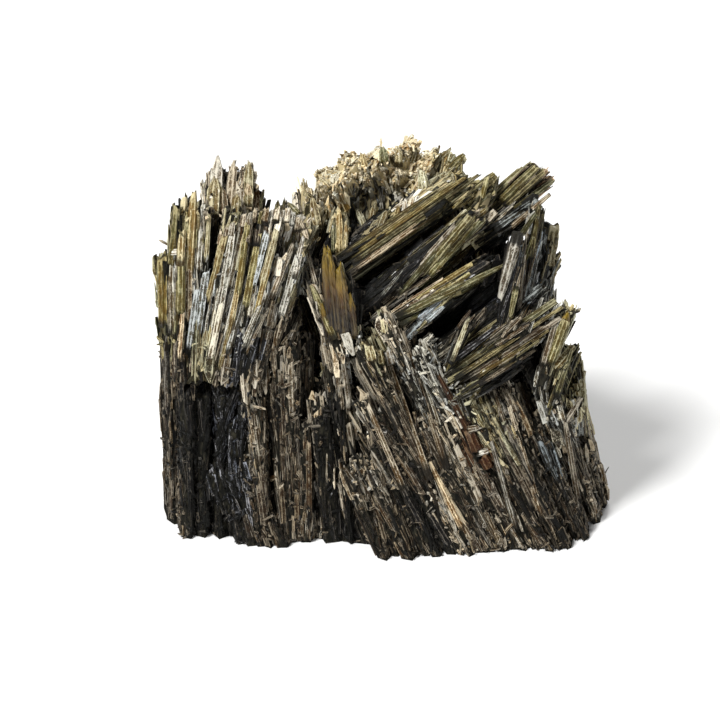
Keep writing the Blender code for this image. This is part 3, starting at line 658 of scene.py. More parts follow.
# %% The golden crystals: root, tip and width, in mm
GOLDEN = [
    ((-6.9, -12.3, 30.2), (-8.2, -11.0, 43.4), 2.3),
    ((-5.7, -12.2, 30.2), (-6.6, -11.3, 41.2), 1.9),
    ((-4.5, -12.0, 30.2), (-5.2, -11.3, 37.4), 1.3),
    ((-7.9, -12.6, 30.2), (-9.0, -11.8, 36.0), 1.0),
    ((21.8, -9.6, 24.0), (25.0, -8.4, 33.2), 1.8),
]
print(len(GOLDEN), "golden crystals have gaps around them, so they are placed in space")

# %% [markdown]
# ## Where the fine crystals stand
#
# Each piece of the stone has its own habit: how wide and long its crystals are, how far their tips stand
# out, how untidily they lie, and how many of them are only crumbs. Crystals packed side by side leave no
# bare spot and hardly overlap. Points thrown at random would leave bare spots and heaps, so far more are
# thrown than are needed, and each is kept only if no other lies within an oval around it. The single
# crystals get some room too.


# %% The habits of the pieces, sizes in mm
@dataclass
class Habit:
    width: tuple
    length: tuple
    tip: float
    untidy: float
    crumbs: float


HABITS = {
    "left_columns": Habit((0.36, 1.0), (1.6, 6.0), 0.3, 0.06, 0.32),
    "wall_columns": Habit((0.32, 0.8), (1.3, 5.0), 0.25, 0.08, 0.38),
    "fan_columns": Habit((0.28, 0.7), (1.2, 4.8), 0.25, 0.08, 0.4),
    "blade_columns": Habit((0.3, 0.75), (3.0, 12.0), 0.22, 0.03, 0.04),
    "ridge_columns": Habit((0.5, 1.3), (1.2, 3.4), 0.45, 0.16, 0.25),
    "back_columns": Habit((0.8, 1.5), (4.0, 11.0), 0.4, 0.05, 0.05),
}
CRUMB_LENGTH = (0.5, 1.3)
CRUMB_WIDTH = (0.3, 0.75)
print(len(HABITS), "habits, and crumbs that are", CRUMB_LENGTH[0], "to", CRUMB_LENGTH[1], "mm long")

# %% Look values up, throw points and choose sizes
MOSTLY_SMALL = 1.6


def looked_up(table, names, label):
    """One value from the table's entry for each of the names."""
    return np.array([getattr(table[name], label) for name in names])


def throw_points(count):
    """Random points on the surface, spread evenly over its area, and the triangles they are on."""
    chosen = dice.choice(len(triangles), count, p=areas / areas.sum())
    first, other = dice.random((2, count, 1))
    root = np.sqrt(first)
    a, b, c = (points[triangles[chosen, i]] for i in range(3))
    return a * (1 - root) + b * root * (1 - other) + c * root * other, chosen


def between(limits):
    """Random numbers between the two columns of limits, more of them near the lower one."""
    return limits[:, 0] + (limits[:, 1] - limits[:, 0]) * dice.random(len(limits)) ** MOSTLY_SMALL


print("the widest of the wall is", looked_up(HABITS, ["wall_columns"], "width")[0, 1], "mm")

# %% Keep the fine crystals apart: the oval is told in lengths and widths of the crystal
CELL = 2.0
OVAL_WIDTH = 0.72
OVAL_LENGTH = 0.3
SAME_SIDE = 0.5


def near_single(spots):
    """Which spots lie inside one of the single or golden crystals."""
    hidden = np.zeros(len(spots), bool)
    golden_rows = [(np.array([root, tip], float), width) for root, tip, width in GOLDEN]
    for (root, tip), width in [*zip(single_ends, single_width), *golden_rows]:
        run = tip - root
        share = np.clip((spots - root) @ run / (run @ run), 0, 1)
        hidden |= np.linalg.norm(spots - root - share[:, None] * run, axis=1) < width / 2
    return hidden


def keep_apart(spots, directions, outward, widths, lengths):
    """Which points to keep, so that none is inside the oval of one that was kept before it."""
    kept = defaultdict(list)
    chosen = []
    homes = (spots // CELL).astype(int)
    steps = list(np.ndindex(3, 3, 3))
    for number, home in enumerate(homes):
        near = []
        for step in steps:
            near += kept.get((home[0] + step[0] - 1, home[1] + step[1] - 1, home[2] + step[2] - 1), ())
        if near:
            gap = spots[number] - spots[near]
            along = gap @ directions[number]
            aside = np.maximum((gap * gap).sum(axis=1) - along * along, 0.0)
            along_share = along / (OVAL_LENGTH * lengths[near])
            inside = along_share ** 2 + aside / (OVAL_WIDTH * widths[near]) ** 2 < 1
            if np.any(inside & (outward[near] @ outward[number] > SAME_SIDE)):
                continue
        kept[tuple(home)].append(number)
        chosen.append(number)
    return np.array(chosen)


print("points are compared with those in the cells of", CELL, "mm around them")

# %% Spread points over the surface
THROWN = 150000
BASE_GAP = 0.5
BASE_FACING = -0.5
BLUR = 0.5

thrown, on_triangle = throw_points(THROWN)
fit = (thrown[:, 2] > BASE_GAP) | (normals[on_triangle][:, 2] > BASE_FACING)
fit &= ~near_single(thrown)
thrown, on_triangle = thrown[fit], on_triangle[fit]
outward, direction = normals[on_triangle], grain[on_triangle]
seen = np.stack(on_sheet(thrown), axis=1)
heading = np.stack(on_sheet(thrown + direction), axis=1) - seen
heading /= np.linalg.norm(heading, axis=1)[:, None]
place_number = nearest_place(seen + BLUR * dice.normal(size=seen.shape), heading)
piece_names = np.where(outward @ sheet_out > 0.0, place_piece[place_number], "back_columns")
crumb = dice.random(len(thrown)) < looked_up(HABITS, piece_names, "crumbs")
width_limits = looked_up(HABITS, piece_names, "width")
length_limits = looked_up(HABITS, piece_names, "length")
width_limits[crumb], length_limits[crumb] = CRUMB_WIDTH, CRUMB_LENGTH
widths, lengths = between(width_limits), between(length_limits)
keep = keep_apart(thrown, direction, outward, widths, lengths)
spots, outward, direction, place_number, crumb, widths, lengths, piece_names = (
    part[keep] for part in (thrown, outward, direction, place_number, crumb, widths, lengths, piece_names))
turn = dice.random(len(spots))[:, None] * math.tau
turned = direction * np.cos(turn) + np.cross(outward, direction) * np.sin(turn)
direction = np.where(crumb[:, None], turned, direction)
print(len(spots), "fine crystals to grow,", int(crumb.sum()), "of them crumbs")

# %% [markdown]
# ## How long each crystal is
#
# A column on the side of a prism lies along it until the prism ends or another one covers it. Small steps
# are taken both ways from its point: the column stops where the surface falls away from it, a little past
# the edge, or where it has gone deep into the stone. A column on a broken end stands up out of it instead.
# Around the spires the tips are kept short, so that the listed spires stand clear of them.

# %% Walk along the surface to find both ends
STEP = 0.5
EDGE_DROP = 0.35
BURIED = 0.6
ON_END = 0.45
PAST_TOP = 0.6
PAST_ROOT = 0.25
SHORTEST_TIP = 0.1
TALLEST_TIP = 1.1
DEEPEST_ROOT = 3.0
SHORTEST = 0.4
HANGING = 3.0
SPIRE_FOOT = 43.0
SPIRE_TIPS = 0.3


def walk(spot, heading, reach, overrun):
    """How far a column goes from spot along heading before it leaves the surface or is buried."""
    gone = 0.0
    while gone < reach:
        gone += STEP
        place = spot + heading * gone
        if place[2] < BASE_GAP / 2:
            return gone - STEP
        found, facing, _, gap = surface.find_nearest(place)
        proud = (Vector(place) - found).dot(facing)
        if proud > 0 and gap > EDGE_DROP:
            return gone - STEP + overrun
        if proud < 0 and gap > BURIED:
            return gone
    return reach


starts, ends = np.empty_like(spots), np.empty_like(spots)
rise_out = (direction * outward).sum(axis=1)
on_end = np.abs(rise_out) > ON_END
overruns = dice.random(len(spots)) * PAST_TOP
tip_heights = looked_up(HABITS, piece_names, "tip")
tips = np.minimum(SHORTEST_TIP + dice.exponential(1.0, len(spots)) * tip_heights, TALLEST_TIP)
tips[rise_out < 0] *= HANGING
on_spire = (piece_names == "left_columns") & (spots[:, 2] > SPIRE_FOOT)
tips[on_spire] *= SPIRE_TIPS
overruns[on_spire] *= SPIRE_TIPS
for number, spot in enumerate(spots):
    along = direction[number]
    if on_end[number]:
        away = along * math.copysign(1, rise_out[number])
        starts[number] = spot - away * min(lengths[number], DEEPEST_ROOT)
        ends[number] = spot + away * tips[number]
    else:
        up_to = walk(spot, along, lengths[number] / 2, overruns[number])
        down_to = walk(spot, -along, lengths[number] / 2, PAST_ROOT * overruns[number])
        starts[number] = spot - along * down_to
        ends[number] = spot + along * up_to
whole = np.linalg.norm(ends - starts, axis=1) > SHORTEST
print(int(on_end.sum()), "stand on broken ends;", int((~whole).sum()), "were too short and are left out")

# %% How much of the sky each crystal sees
SKY_RAYS = 14
SKY_REACH = 14.0
SKY_START = 0.3

sky_rays = dice.normal(size=(SKY_RAYS, 3))
sky_rays /= np.linalg.norm(sky_rays, axis=1)[:, None]


def open_sky(spot, facing):
    """The share of rays from spot, on its open side, that meet nothing close by."""
    start = Vector(spot + facing * SKY_START)
    free = 0
    for ray in sky_rays:
        ray = ray if ray @ facing > 0 else -ray
        free += surface.ray_cast(start, Vector(ray), SKY_REACH)[0] is None
    return free / SKY_RAYS


# This share sets how dark the finish paints each crystal: little open sky means more painted shade.
sky = np.array([open_sky(spot, facing) for spot, facing in zip(spots, outward)])
print("on average a crystal sees", round(float(sky.mean()), 2), "of its sky")

# %% [markdown]
# ## One mesh for thousands of crystals
#
# A crystal is a net of rings and corners. All crystals of a kind share one net, so thousands of them can be
# worked out at once as arrays, with no modifier or copy for each. Each corner also keeps a few values for
# the finish: its place in the crystal's own grain, whether it lies on an edge, and how far it stands out of
# the stone.


# %% The net of one crystal, and the axes it is drawn along
GRAIN_SHIFT = 40


def crystal_net(sides, rings):
    """The triangles of one crystal: its sides ring by ring, and a fan of small faces on each end."""
    net = []
    for ring in range(rings - 1):
        for side in range(sides):
            low, low_next = ring * sides + side, ring * sides + (side + 1) % sides
            high, high_next = low + sides, low_next + sides
            net += [(low, low_next, high_next), (low, high_next, high)]
    foot, top, last = rings * sides, rings * sides + 1, (rings - 1) * sides
    for side in range(sides):
        following = (side + 1) % sides
        net += [(foot, following, side), (top, last + side, last + following)]
    return np.array(net)


@dataclass
class Crystals:
    net: np.ndarray
    corners: np.ndarray
    grain_space: np.ndarray
    edge: np.ndarray
    along: np.ndarray
    crown: np.ndarray


def assemble(net, start, end, facing, wide, along, high, edge, sunk):
    """Puts the corners, given across, along and out of each crystal, at their places in the stone."""
    count, rings, sides = wide.shape
    axis = (end - start) / np.linalg.norm(end - start, axis=1)[:, None]
    aside = np.cross(axis, facing)
    aside /= np.linalg.norm(aside, axis=1)[:, None]
    axes = np.stack([aside, axis, np.cross(aside, axis)], axis=1)
    local = np.stack([wide, along, high], axis=3).reshape(count, rings * sides, 3)
    foot, top = (part.mean(axis=1, keepdims=True) for part in (local[:, :sides], local[:, -sides:]))
    local = np.concatenate([local, foot, top], axis=1)
    corners = start[:, None] + (local - [0, 0, 1] * sunk[:, None, None]) @ axes
    crown = local[:, :, 2] - sunk[:, None]
    share_along = local[:, :, 1] / np.linalg.norm(end - start, axis=1)[:, None]
    edge = np.concatenate([edge.reshape(count, -1), np.full((count, 2), 0.5)], axis=1)
    return Crystals(net, corners, local + GRAIN_SHIFT * dice.random((count, 1, 3)), edge, share_along, crown)


print("a plain box would be a net of", len(crystal_net(4, 2)), "triangles")

# %% Fine crystals: four sides, often snapped to a thinner rest
# thickness and rest are shares of the width, the snap is a share of the length, and the ledge is in mm
SIDES = 4
RINGS = 4
THINNEST, MORE_THICK = 0.55, 0.4
LOWEST_SNAP, MORE_SNAP = 0.25, 0.6
SNAPPED = 0.6
THINNEST_REST, MORE_REST, WHOLE_REST = 0.4, 0.4, 0.95
BLUNT, SHARP = 0.85, 0.3
BLUNT_SHARE, BLOCKY_BLUNT_SHARE = 0.6, 0.35
ROOT_SIZE = 0.8
JITTER = 0.15
LEDGE = 0.03
SIDE_WANDER = 0.5
COLUMN_SLOPE = 0.7


def shape_columns(start, end, facing, width, sunk, blocky):
    """The corners of many fine crystals; the blocky ones keep their full width almost to the end."""
    count = len(start)
    length = np.linalg.norm(end - start, axis=1)
    thick = width * (THINNEST + MORE_THICK * dice.random(count))
    snap = LOWEST_SNAP + MORE_SNAP * dice.random(count)
    snapped = (dice.random(count) < SNAPPED) & ~blocky
    rest = np.where(snapped, THINNEST_REST + MORE_REST * dice.random(count), WHOLE_REST)
    blunt = np.where(dice.random(count) < np.where(blocky, BLOCKY_BLUNT_SHARE, BLUNT_SHARE), BLUNT, SHARP)
    none, full = np.zeros(count), np.ones(count)
    share = np.stack([none, snap - LEDGE / length, snap + LEDGE / length, full], axis=1)
    size = np.stack([ROOT_SIZE * full, full, rest, rest * blunt], axis=1)[:, :, None]
    size = size * (1 + JITTER * dice.normal(size=(count, RINGS, SIDES)))
    lean = np.stack([none, none, 1 - rest, 1 - rest], axis=1) * dice.choice([-0.5, 0.5], count)[:, None]
    turn = np.arange(SIDES) + SIDE_WANDER * (dice.random((count, SIDES)) - 0.5)
    turn = turn / SIDES + dice.random((count, 1))
    wide = (np.cos(math.tau * turn)[:, None] * size + lean[:, :, None]) * width[:, None, None] / 2
    high = np.sin(math.tau * turn)[:, None] * size * thick[:, None, None] / 2
    along = np.repeat((share * length[:, None])[:, :, None], SIDES, axis=2)
    slope = dice.normal(size=(count, 2)) * COLUMN_SLOPE
    along[:, -1] += slope[:, :1] * wide[:, -1] + slope[:, 1:] * high[:, -1]
    edge = np.broadcast_to(np.arange(SIDES) % 2, (count, RINGS, SIDES))
    return assemble(crystal_net(SIDES, RINGS), start, end, facing, wide, along, high, edge, sunk)


print("a fine crystal is", len(crystal_net(SIDES, RINGS)), "triangles")

# %% Larger crystals: fluted from root to tip
# shares of the radius, of the length, of the thickness or of the width
GROOVE = 0.86
TIP_SHARE = 0.72
ROOT_SHARE = 0.22
ROOT_SINK = 1.3
TAPER, POINT_TAPER = 0.12, 0.86
BEND, FLUTE_JITTER, CORNER_JITTER = 0.12, 0.07, 0.04
SQUARENESS = 0.45
BLADE_SLOPE = 0.6
RAGGED_END = 0.12


def shape_blades(start, end, facing, width, thick, point, sunk, flutes, hoops):
    """The corners of many fluted crystals; point is 0 for a blunt end and 1 for a sharp one."""
    count = len(start)
    length = np.linalg.norm(end - start, axis=1)
    share = np.linspace(0, 1, hoops)
    toward_tip = np.clip((share - TIP_SHARE) / (1 - TIP_SHARE), 0, 1)
    taper = 1 - TAPER * share[None] - POINT_TAPER * point[:, None] * toward_tip[None] ** 1.5
    wander = 1 + BEND * dice.normal(size=(count, hoops)).cumsum(axis=1) / math.sqrt(hoops)
    flute = 1 + FLUTE_JITTER * dice.normal(size=(count, flutes))
    flute = np.where(np.arange(flutes) % 2 == 0, 1.0, GROOVE) * flute
    corner = 1 + CORNER_JITTER * dice.normal(size=(count, hoops, flutes))
    size = (taper * wander)[:, :, None] * flute[:, None] * corner
    angle = math.tau * (np.arange(flutes) / flutes + dice.random((count, 1)))
    squared = 1 / np.maximum(np.abs(np.cos(angle)), np.abs(np.sin(angle))) ** SQUARENESS
    wide = (np.cos(angle) * squared)[:, None] * size * width[:, None, None] / 2
    high = (np.sin(angle) * squared)[:, None] * size * thick[:, None, None] / 2
    into_stone = np.clip(1 - share / ROOT_SHARE, 0, 1) ** 2
    high = high - (ROOT_SINK * thick[:, None] * into_stone[None])[:, :, None]
    along = share[None, :, None] * length[:, None, None] * np.ones((1, 1, flutes))
    slope = dice.normal(size=(count, 2)) * BLADE_SLOPE
    along[:, -1] += slope[:, :1] * wide[:, -1] + slope[:, 1:] * high[:, -1]
    along[:, -1] += RAGGED_END * width[:, None] * dice.normal(size=(count, flutes))
    ridges = np.where(np.arange(flutes) % 2 == 0, 1.0, 0.5)
    edge = np.broadcast_to(ridges, (count, hoops, flutes))
    return assemble(crystal_net(flutes, hoops), start, end, facing, wide, along, high, edge, sunk)


print("the grooves of a fluted crystal are", round(100 * (1 - GROOVE)), "% of its radius deep")


# %% Make one object from many crystals
def crystal_object(name, crystals, chosen, finish, material):
    """One closed-mesh object from the chosen crystals, with the values that its finish reads."""
    per_crystal = crystals.corners.shape[1]
    faces = (crystals.net[None] + per_crystal * np.arange(len(chosen))[:, None, None]).reshape(-1, 3)
    new_mesh = bpy.data.meshes.new(name)
    new_mesh.from_pydata(crystals.corners[chosen].reshape(-1, 3) * MM, [], faces)
    values = {label: getattr(crystals, label)[chosen].ravel() for label in ("edge", "along", "crown")}
    values |= {label: np.repeat(part[chosen], per_crystal, axis=0) for label, part in finish.items()}
    values["grain_space"] = crystals.grain_space[chosen].reshape(-1, 3)
    for label, value in values.items():
        kind = "FLOAT_VECTOR" if value.ndim == 2 else "FLOAT"
        stored = new_mesh.attributes.new(label, kind, "POINT")
        stored.data.foreach_set("vector" if value.ndim == 2 else "value", value.ravel().astype(np.float32))
    new_mesh.materials.append(material)
    new_object = bpy.data.objects.new(name, new_mesh)
    bpy.context.scene.collection.objects.link(new_object)
    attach(new_object, "root")
    print(name, "has", len(chosen), "crystals and", len(faces), "triangles")



# %% [markdown]
# ## The finish of a crystal
#
# Four things make the look: streaks along the crystal, crust on the parts that stand out, which also paints
# them lighter like lit crowns, light lines where its sides meet, and painted shade in the gaps, deepest where
# a crystal sees little sky. They are worked out in one group of nodes, because every crusted material uses
# them. The streaks come from noise that is read in the crystal's own grain and stretched along it.


# %% Node helpers
class Nodes:
    """Adds and joins nodes of one tree with short calls."""

    def __init__(self, tree):
        self.tree = tree

    def add(self, kind, **settings):
        node = self.tree.nodes.new(kind)
        for name, value in settings.items():
            setattr(node, name, value)
        return node

    def feed(self, socket, value):
        if isinstance(value, bpy.types.NodeSocket):
            self.tree.links.new(value, socket)
        else:
            socket.default_value = value

    def math(self, operation, first, second=0.0):
        node = self.add("ShaderNodeMath", operation=operation)
        self.feed(node.inputs[0], first)
        self.feed(node.inputs[1], second)
        return node.outputs[0]

    def ramp(self, value, low, high, to_low=0.0, to_high=1.0):
        node = self.add("ShaderNodeMapRange")
        for socket, part in zip(node.inputs, (value, low, high, to_low, to_high)):
            self.feed(socket, part)
        return node.outputs[0]

    def mix(self, share, first, second, blend="MIX"):
        node = self.add("ShaderNodeMix", data_type="RGBA", blend_type=blend)
        self.feed(node.inputs[0], share)
        self.feed(node.inputs[6], first)
        self.feed(node.inputs[7], second)
        return node.outputs[2]

    def noise(self, vector, scale, detail=2.0, roughness=0.55):
        stretched = self.add("ShaderNodeVectorMath", operation="MULTIPLY")
        self.feed(stretched.inputs[0], vector)
        stretched.inputs[1].default_value = scale
        node = self.add("ShaderNodeTexNoise")
        node.inputs["Scale"].default_value = 1.0
        node.inputs["Detail"].default_value = detail
        node.inputs["Roughness"].default_value = roughness
        self.feed(node.inputs["Vector"], stretched.outputs[0])
        return node.outputs["Fac"]

    def read(self, label, output="Fac"):
        return self.add("ShaderNodeAttribute", attribute_name=label).outputs[output]


print("Nodes can", ", ".join(name for name in vars(Nodes) if not name.startswith("_")))


# %% Colours, bumps and groups
def paint(red, green, blue):
    """A screen colour from 0 to 255 in the form that a colour socket wants."""
    return (*screen(red, green, blue), 1)


def add_bump(tree, shader, height, strength, distance):
    """Lets height dent the shader's surface, by up to distance in metres."""
    bump = tree.add("ShaderNodeBump")
    bump.inputs["Strength"].default_value = strength
    bump.inputs["Distance"].default_value = distance
    tree.feed(bump.inputs["Height"], height)
    tree.feed(shader.inputs["Normal"], bump.outputs["Normal"])


def new_group(name, inputs, outputs):
    """An empty group of nodes with named sockets; returns it, its helper and its two end nodes."""
    group = bpy.data.node_groups.new(name, "ShaderNodeTree")
    for label, kind in inputs:
        group.interface.new_socket(label, in_out="INPUT", socket_type=kind)
    for label, kind in outputs:
        group.interface.new_socket(label, in_out="OUTPUT", socket_type=kind)
    nodes = Nodes(group)
    return group, nodes, nodes.add("NodeGroupInput"), nodes.add("NodeGroupOutput")


print("a node group starts with its named sockets")

# %% The group for streaks, crust and gaps: first its marks and its bare stone
VALUE, COLOR, VECTOR = "NodeSocketFloat", "NodeSocketColor", "NodeSocketVector"
# gap, crown and sky drive the painted shade in the gaps, which mixes the colour towards BLACK.
LEVELS = ("share", "gap", "edge", "along", "crown", "sky")
BLACK = (0.004, 0.004, 0.003, 1)

crust_and_shade_group, nodes, given, made = new_group(
    "streaks_crust_and_shade",
    [("Grain", VECTOR), ("Stone", COLOR), ("Crust", COLOR), *((label.title(), VALUE) for label in LEVELS)],
    [("Color", COLOR), ("Height", VALUE), ("Roughness", VALUE), ("Glint", VALUE)])
level = {label: given.outputs[label.title()] for label in LEVELS}
own_grain = given.outputs["Grain"]
streak = nodes.ramp(nodes.noise(own_grain, (7.0, 0.4, 7.0), 3.0, 0.65), 0.38, 0.62)
hair = nodes.ramp(nodes.noise(own_grain, (16.0, 0.9, 16.0), 2.0, 0.6), 0.35, 0.65)
patch = nodes.noise(own_grain, (1.3, 0.6, 1.3), 2.0, 0.5)
speck = nodes.noise(own_grain, (6.0, 1.8, 6.0), 3.0, 0.7)
glitter = nodes.ramp(nodes.noise(own_grain, (8.0, 5.0, 8.0), 1.0, 0.5), 0.63, 0.7)
across = nodes.math("SUBTRACT", nodes.noise(own_grain, (0.7, 1.9, 0.7), 1.0, 0.5), 0.5)
crack = nodes.ramp(nodes.math("ABSOLUTE", across), 0.016, 0.0)
# How far a corner stands out: it adds crust and paints the crowns lighter as if lit, and low corners get
# painted shade.
stood_out = nodes.ramp(level["crown"], -0.1, 0.2)
from_middle = nodes.math("ABSOLUTE", nodes.math("SUBTRACT", nodes.math("MULTIPLY", level["edge"], 2.0), 1.0))
line = nodes.math("POWER", from_middle, 3.0)
cap = nodes.ramp(level["along"], 0.86, 0.97)
faded = nodes.mix(1.0, given.outputs["Stone"], (0.35, 0.34, 0.33, 1), "MULTIPLY")
body = nodes.mix(streak, faded, given.outputs["Stone"])
browner = nodes.mix(1.0, body, (0.95, 0.72, 0.5, 1), "MULTIPLY")
body = nodes.mix(nodes.ramp(patch, 0.42, 0.62), browner, body)
print("streaks, specks, cracks and lines take", len(crust_and_shade_group.nodes), "nodes")

# %% The rest of the group: crust where enough of them add up, and painted shade in the gaps
crust_parts = [(speck, 0.5, 1.5), (patch, 0.5, 1.5), (hair, 0.5, 0.5), (glitter, 0.0, 0.5),
               (stood_out, 0.6, 0.3), (line, 0.2, 0.8), (cap, 0.0, 0.45), (crack, 0.0, 0.5)]
crust_and_light_sum = level["share"]
for value, middle, weight in crust_parts:
    part = nodes.math("MULTIPLY", nodes.math("SUBTRACT", value, middle), weight)
    crust_and_light_sum = nodes.math("ADD", crust_and_light_sum, part)
# The mask is mostly crust, and partly painted light on the crowns that stand out.
crust_and_light_mask = nodes.ramp(crust_and_light_sum, 0.38, 0.8)
crust_and_light_colour = nodes.mix(crust_and_light_mask, body, given.outputs["Crust"])
# Painted shade: corners that sit low and crystals that see little sky are mixed towards black.
gap_shade = nodes.math("MULTIPLY", nodes.ramp(stood_out, 0.0, 1.0, level["gap"], 1.0),
                       nodes.ramp(level["sky"], 0.12, 0.65, 0.25, 1.0))
nodes.feed(made.inputs["Color"], nodes.mix(gap_shade, BLACK, crust_and_light_colour))
nodes.feed(made.inputs["Height"], nodes.math("ADD", nodes.math("MULTIPLY", streak, 0.5), hair))
nodes.feed(made.inputs["Roughness"], nodes.ramp(crust_and_light_mask, 0.0, 1.0, 0.42, 0.7))
flake = nodes.ramp(nodes.noise(own_grain, (2.6, 1.2, 2.6), 1.0, 0.5), 0.56, 0.64)
nodes.feed(made.inputs["Glint"], nodes.math("MULTIPLY", nodes.math("MULTIPLY", flake, gap_shade), 0.45))
print("group", crust_and_shade_group.name, "has", len(crust_and_shade_group.nodes), "nodes")

# %% The crusted materials
EPIDOTE_IOR = 1.73


def crystal_material(name, gloss):
    """Epidote with streaks, crust and painted shade in its gaps; gloss is how strongly its bare parts
    reflect.
    """
    material, shader = plain_material(name, (0.1, 0.09, 0.05), 0.4)
    tree = Nodes(material.node_tree)
    group = tree.add("ShaderNodeGroup", node_tree=crust_and_shade_group)
    tree.feed(group.inputs["Grain"], tree.read("grain_space", "Vector"))
    tree.feed(group.inputs["Stone"], tree.read("stone", "Color"))
    tree.feed(group.inputs["Crust"], tree.read("crust", "Color"))
    for label in LEVELS:
        tree.feed(group.inputs[label.title()], tree.read(label))
    add_bump(tree, shader, group.outputs["Height"], 0.6, 0.08 * MM)
    tree.feed(shader.inputs["Base Color"], group.outputs["Color"])
    tree.feed(shader.inputs["Roughness"], group.outputs["Roughness"])
    tree.feed(shader.inputs["Coat Weight"], group.outputs["Glint"])
    shader.inputs["Coat Roughness"].default_value = 0.2
    shader.inputs["IOR"].default_value = EPIDOTE_IOR
    shader.inputs["Specular IOR Level"].default_value = gloss
    return material


crusted = crystal_material("crusted_epidote", 0.08)
glassy = crystal_material("glassy_epidote", 0.8)
print("crusted and glassy materials ready")


# %% Values for the finish of each crystal
BROWNER = np.array([0.08, 0.0, -0.14])
STONE_LIMITS = (0.45, 1.7)
CRUST_LIMITS = (0.75, 1.15)
SHARE_SPREAD = 0.6


def tone_finish(names, spread, open_share):
    """The finish values of crystals of these tones; spread is how much one differs from the next."""
    count = len(names)
    brighter = np.clip(1 + spread * dice.normal(size=(count, 1)), *STONE_LIMITS)
    tint = 1 + BROWNER * np.clip(dice.normal(size=(count, 1)), -2, 2)
    return {
        "stone": looked_up(TONES, names, "stone") * brighter * tint,
        "crust": looked_up(TONES, names, "crust") * np.clip(brighter, *CRUST_LIMITS) * (1 + tint) / 2,
        "share": looked_up(TONES, names, "share") + SHARE_SPREAD * spread * dice.normal(size=count),
        # gap and sky set the painted shade in the crystal's gaps
        "gap": looked_up(TONES, names, "gap"),
        "sky": open_share,
    }


print("stone, crust, share, gap and sky are kept for each crystal")

# %% Grow the fine crystals, sizes in mm
PIECE_LIMIT = 6000
MOST_TILT = 0.35
COLUMN_SPREAD = 0.22
BARE_STONE = 0.35
BARE_SHARE, COATED_SHARE = -0.35, 0.08
BARE_WIDTH, COATED_WIDTH, END_WIDTH = 1.15, 0.9, 1.25
BARE_SINK, COATED_SINK, MORE_SINK = 0.1, -0.2, 0.45
CRUMB_UNTIDY = 0.4
CRUMB_LIFT = 0.2
CRUMB_SHARE = 0.14
END_SKY = 0.7
END_CROWN = 0.3
BOX_MARGIN = 0.02

tone_names = place_tone[place_number]
count = len(spots)
bare = dice.random(count) < looked_up(TONES, tone_names, "bare")
finish = tone_finish(tone_names, COLUMN_SPREAD, sky)
finish["stone"] *= np.where(bare, BARE_STONE, 1.0)[:, None]
finish["share"] += np.where(bare, BARE_SHARE, COATED_SHARE) + np.where(crumb, CRUMB_SHARE, 0.0)
# Broken ends stand clear, so their painted shade is lightened: their sky is raised here.
finish["sky"] = np.where(on_end, np.maximum(sky, END_SKY), sky)
untidy = np.where(crumb, CRUMB_UNTIDY, looked_up(HABITS, piece_names, "untidy"))[:, None]
tilt = untidy * dice.normal(size=ends.shape) * np.linalg.norm(ends - starts, axis=1)[:, None]
tilt = np.clip(tilt, -MOST_TILT, MOST_TILT)
lift = np.where(crumb, CRUMB_LIFT, 0.0)[:, None] * outward
widths *= np.where(bare, BARE_WIDTH, COATED_WIDTH) * np.where(on_end, END_WIDTH, 1.0)
sunk = widths * (np.where(bare, BARE_SINK, COATED_SINK) + MORE_SINK * dice.random(count))
sunk[on_end] = 0.0
facing = np.where(on_end[:, None], sheet_out, outward)
columns = shape_columns(starts + lift, ends + tilt + lift, facing, widths, sunk, on_end)
# Raising the crown of broken ends lightens their painted shade and adds crust and painted light.
columns.crown[on_end] += END_CROWN
low, high = (np.array(side) / MM for side in cad_bounds)
margin = BOX_MARGIN * (high - low)
box = np.array([[*(low - margin)[:2], 0.0], high + margin])
columns.corners[:] = np.clip(columns.corners, *box)

for piece in HABITS:
    members = np.flatnonzero(whole & (piece_names == piece))
    members = members[np.argsort(spots[members, 0], kind="stable")]
    parts = math.ceil(len(members) / PIECE_LIMIT)
    for part, chosen in enumerate(np.array_split(members, parts)):
        name = piece if parts == 1 else f"{piece}_{part + 1}"
        crystal_object(name, columns, chosen, finish, crusted)

# %% [markdown]
# ## Long blades
#
# Among the fine columns lie larger ones that run on for a centimetre or more, with fluted sides. They carry
# the eye along the bundles. Their places are chosen among those of the fine crystals that face the front.

# %% Lay long blades over the fine crystals
BLADES_TRIED = {"left_columns": 60, "wall_columns": 60, "fan_columns": 126, "blade_columns": 120}
FACES_FRONT = 0.35
BLADE_WIDTH = (0.6, 1.3)
BLADE_REACH = (5.0, 15.0)
BLADE_GAP = 1.6
BLADE_PAST_TOP, BLADE_PAST_ROOT = 0.5, 0.1
SHORTEST_BLADE = 2.0
BLADE_THINNEST, BLADE_MORE_THICK = 0.55, 0.3
MOST_POINTED = 0.6
BLADE_SINK = 0.1
BLADE_FLUTES, BLADE_HOOPS = 12, 10
BLADE_SPREAD = 0.25
LARGE_SHARE = 0.12

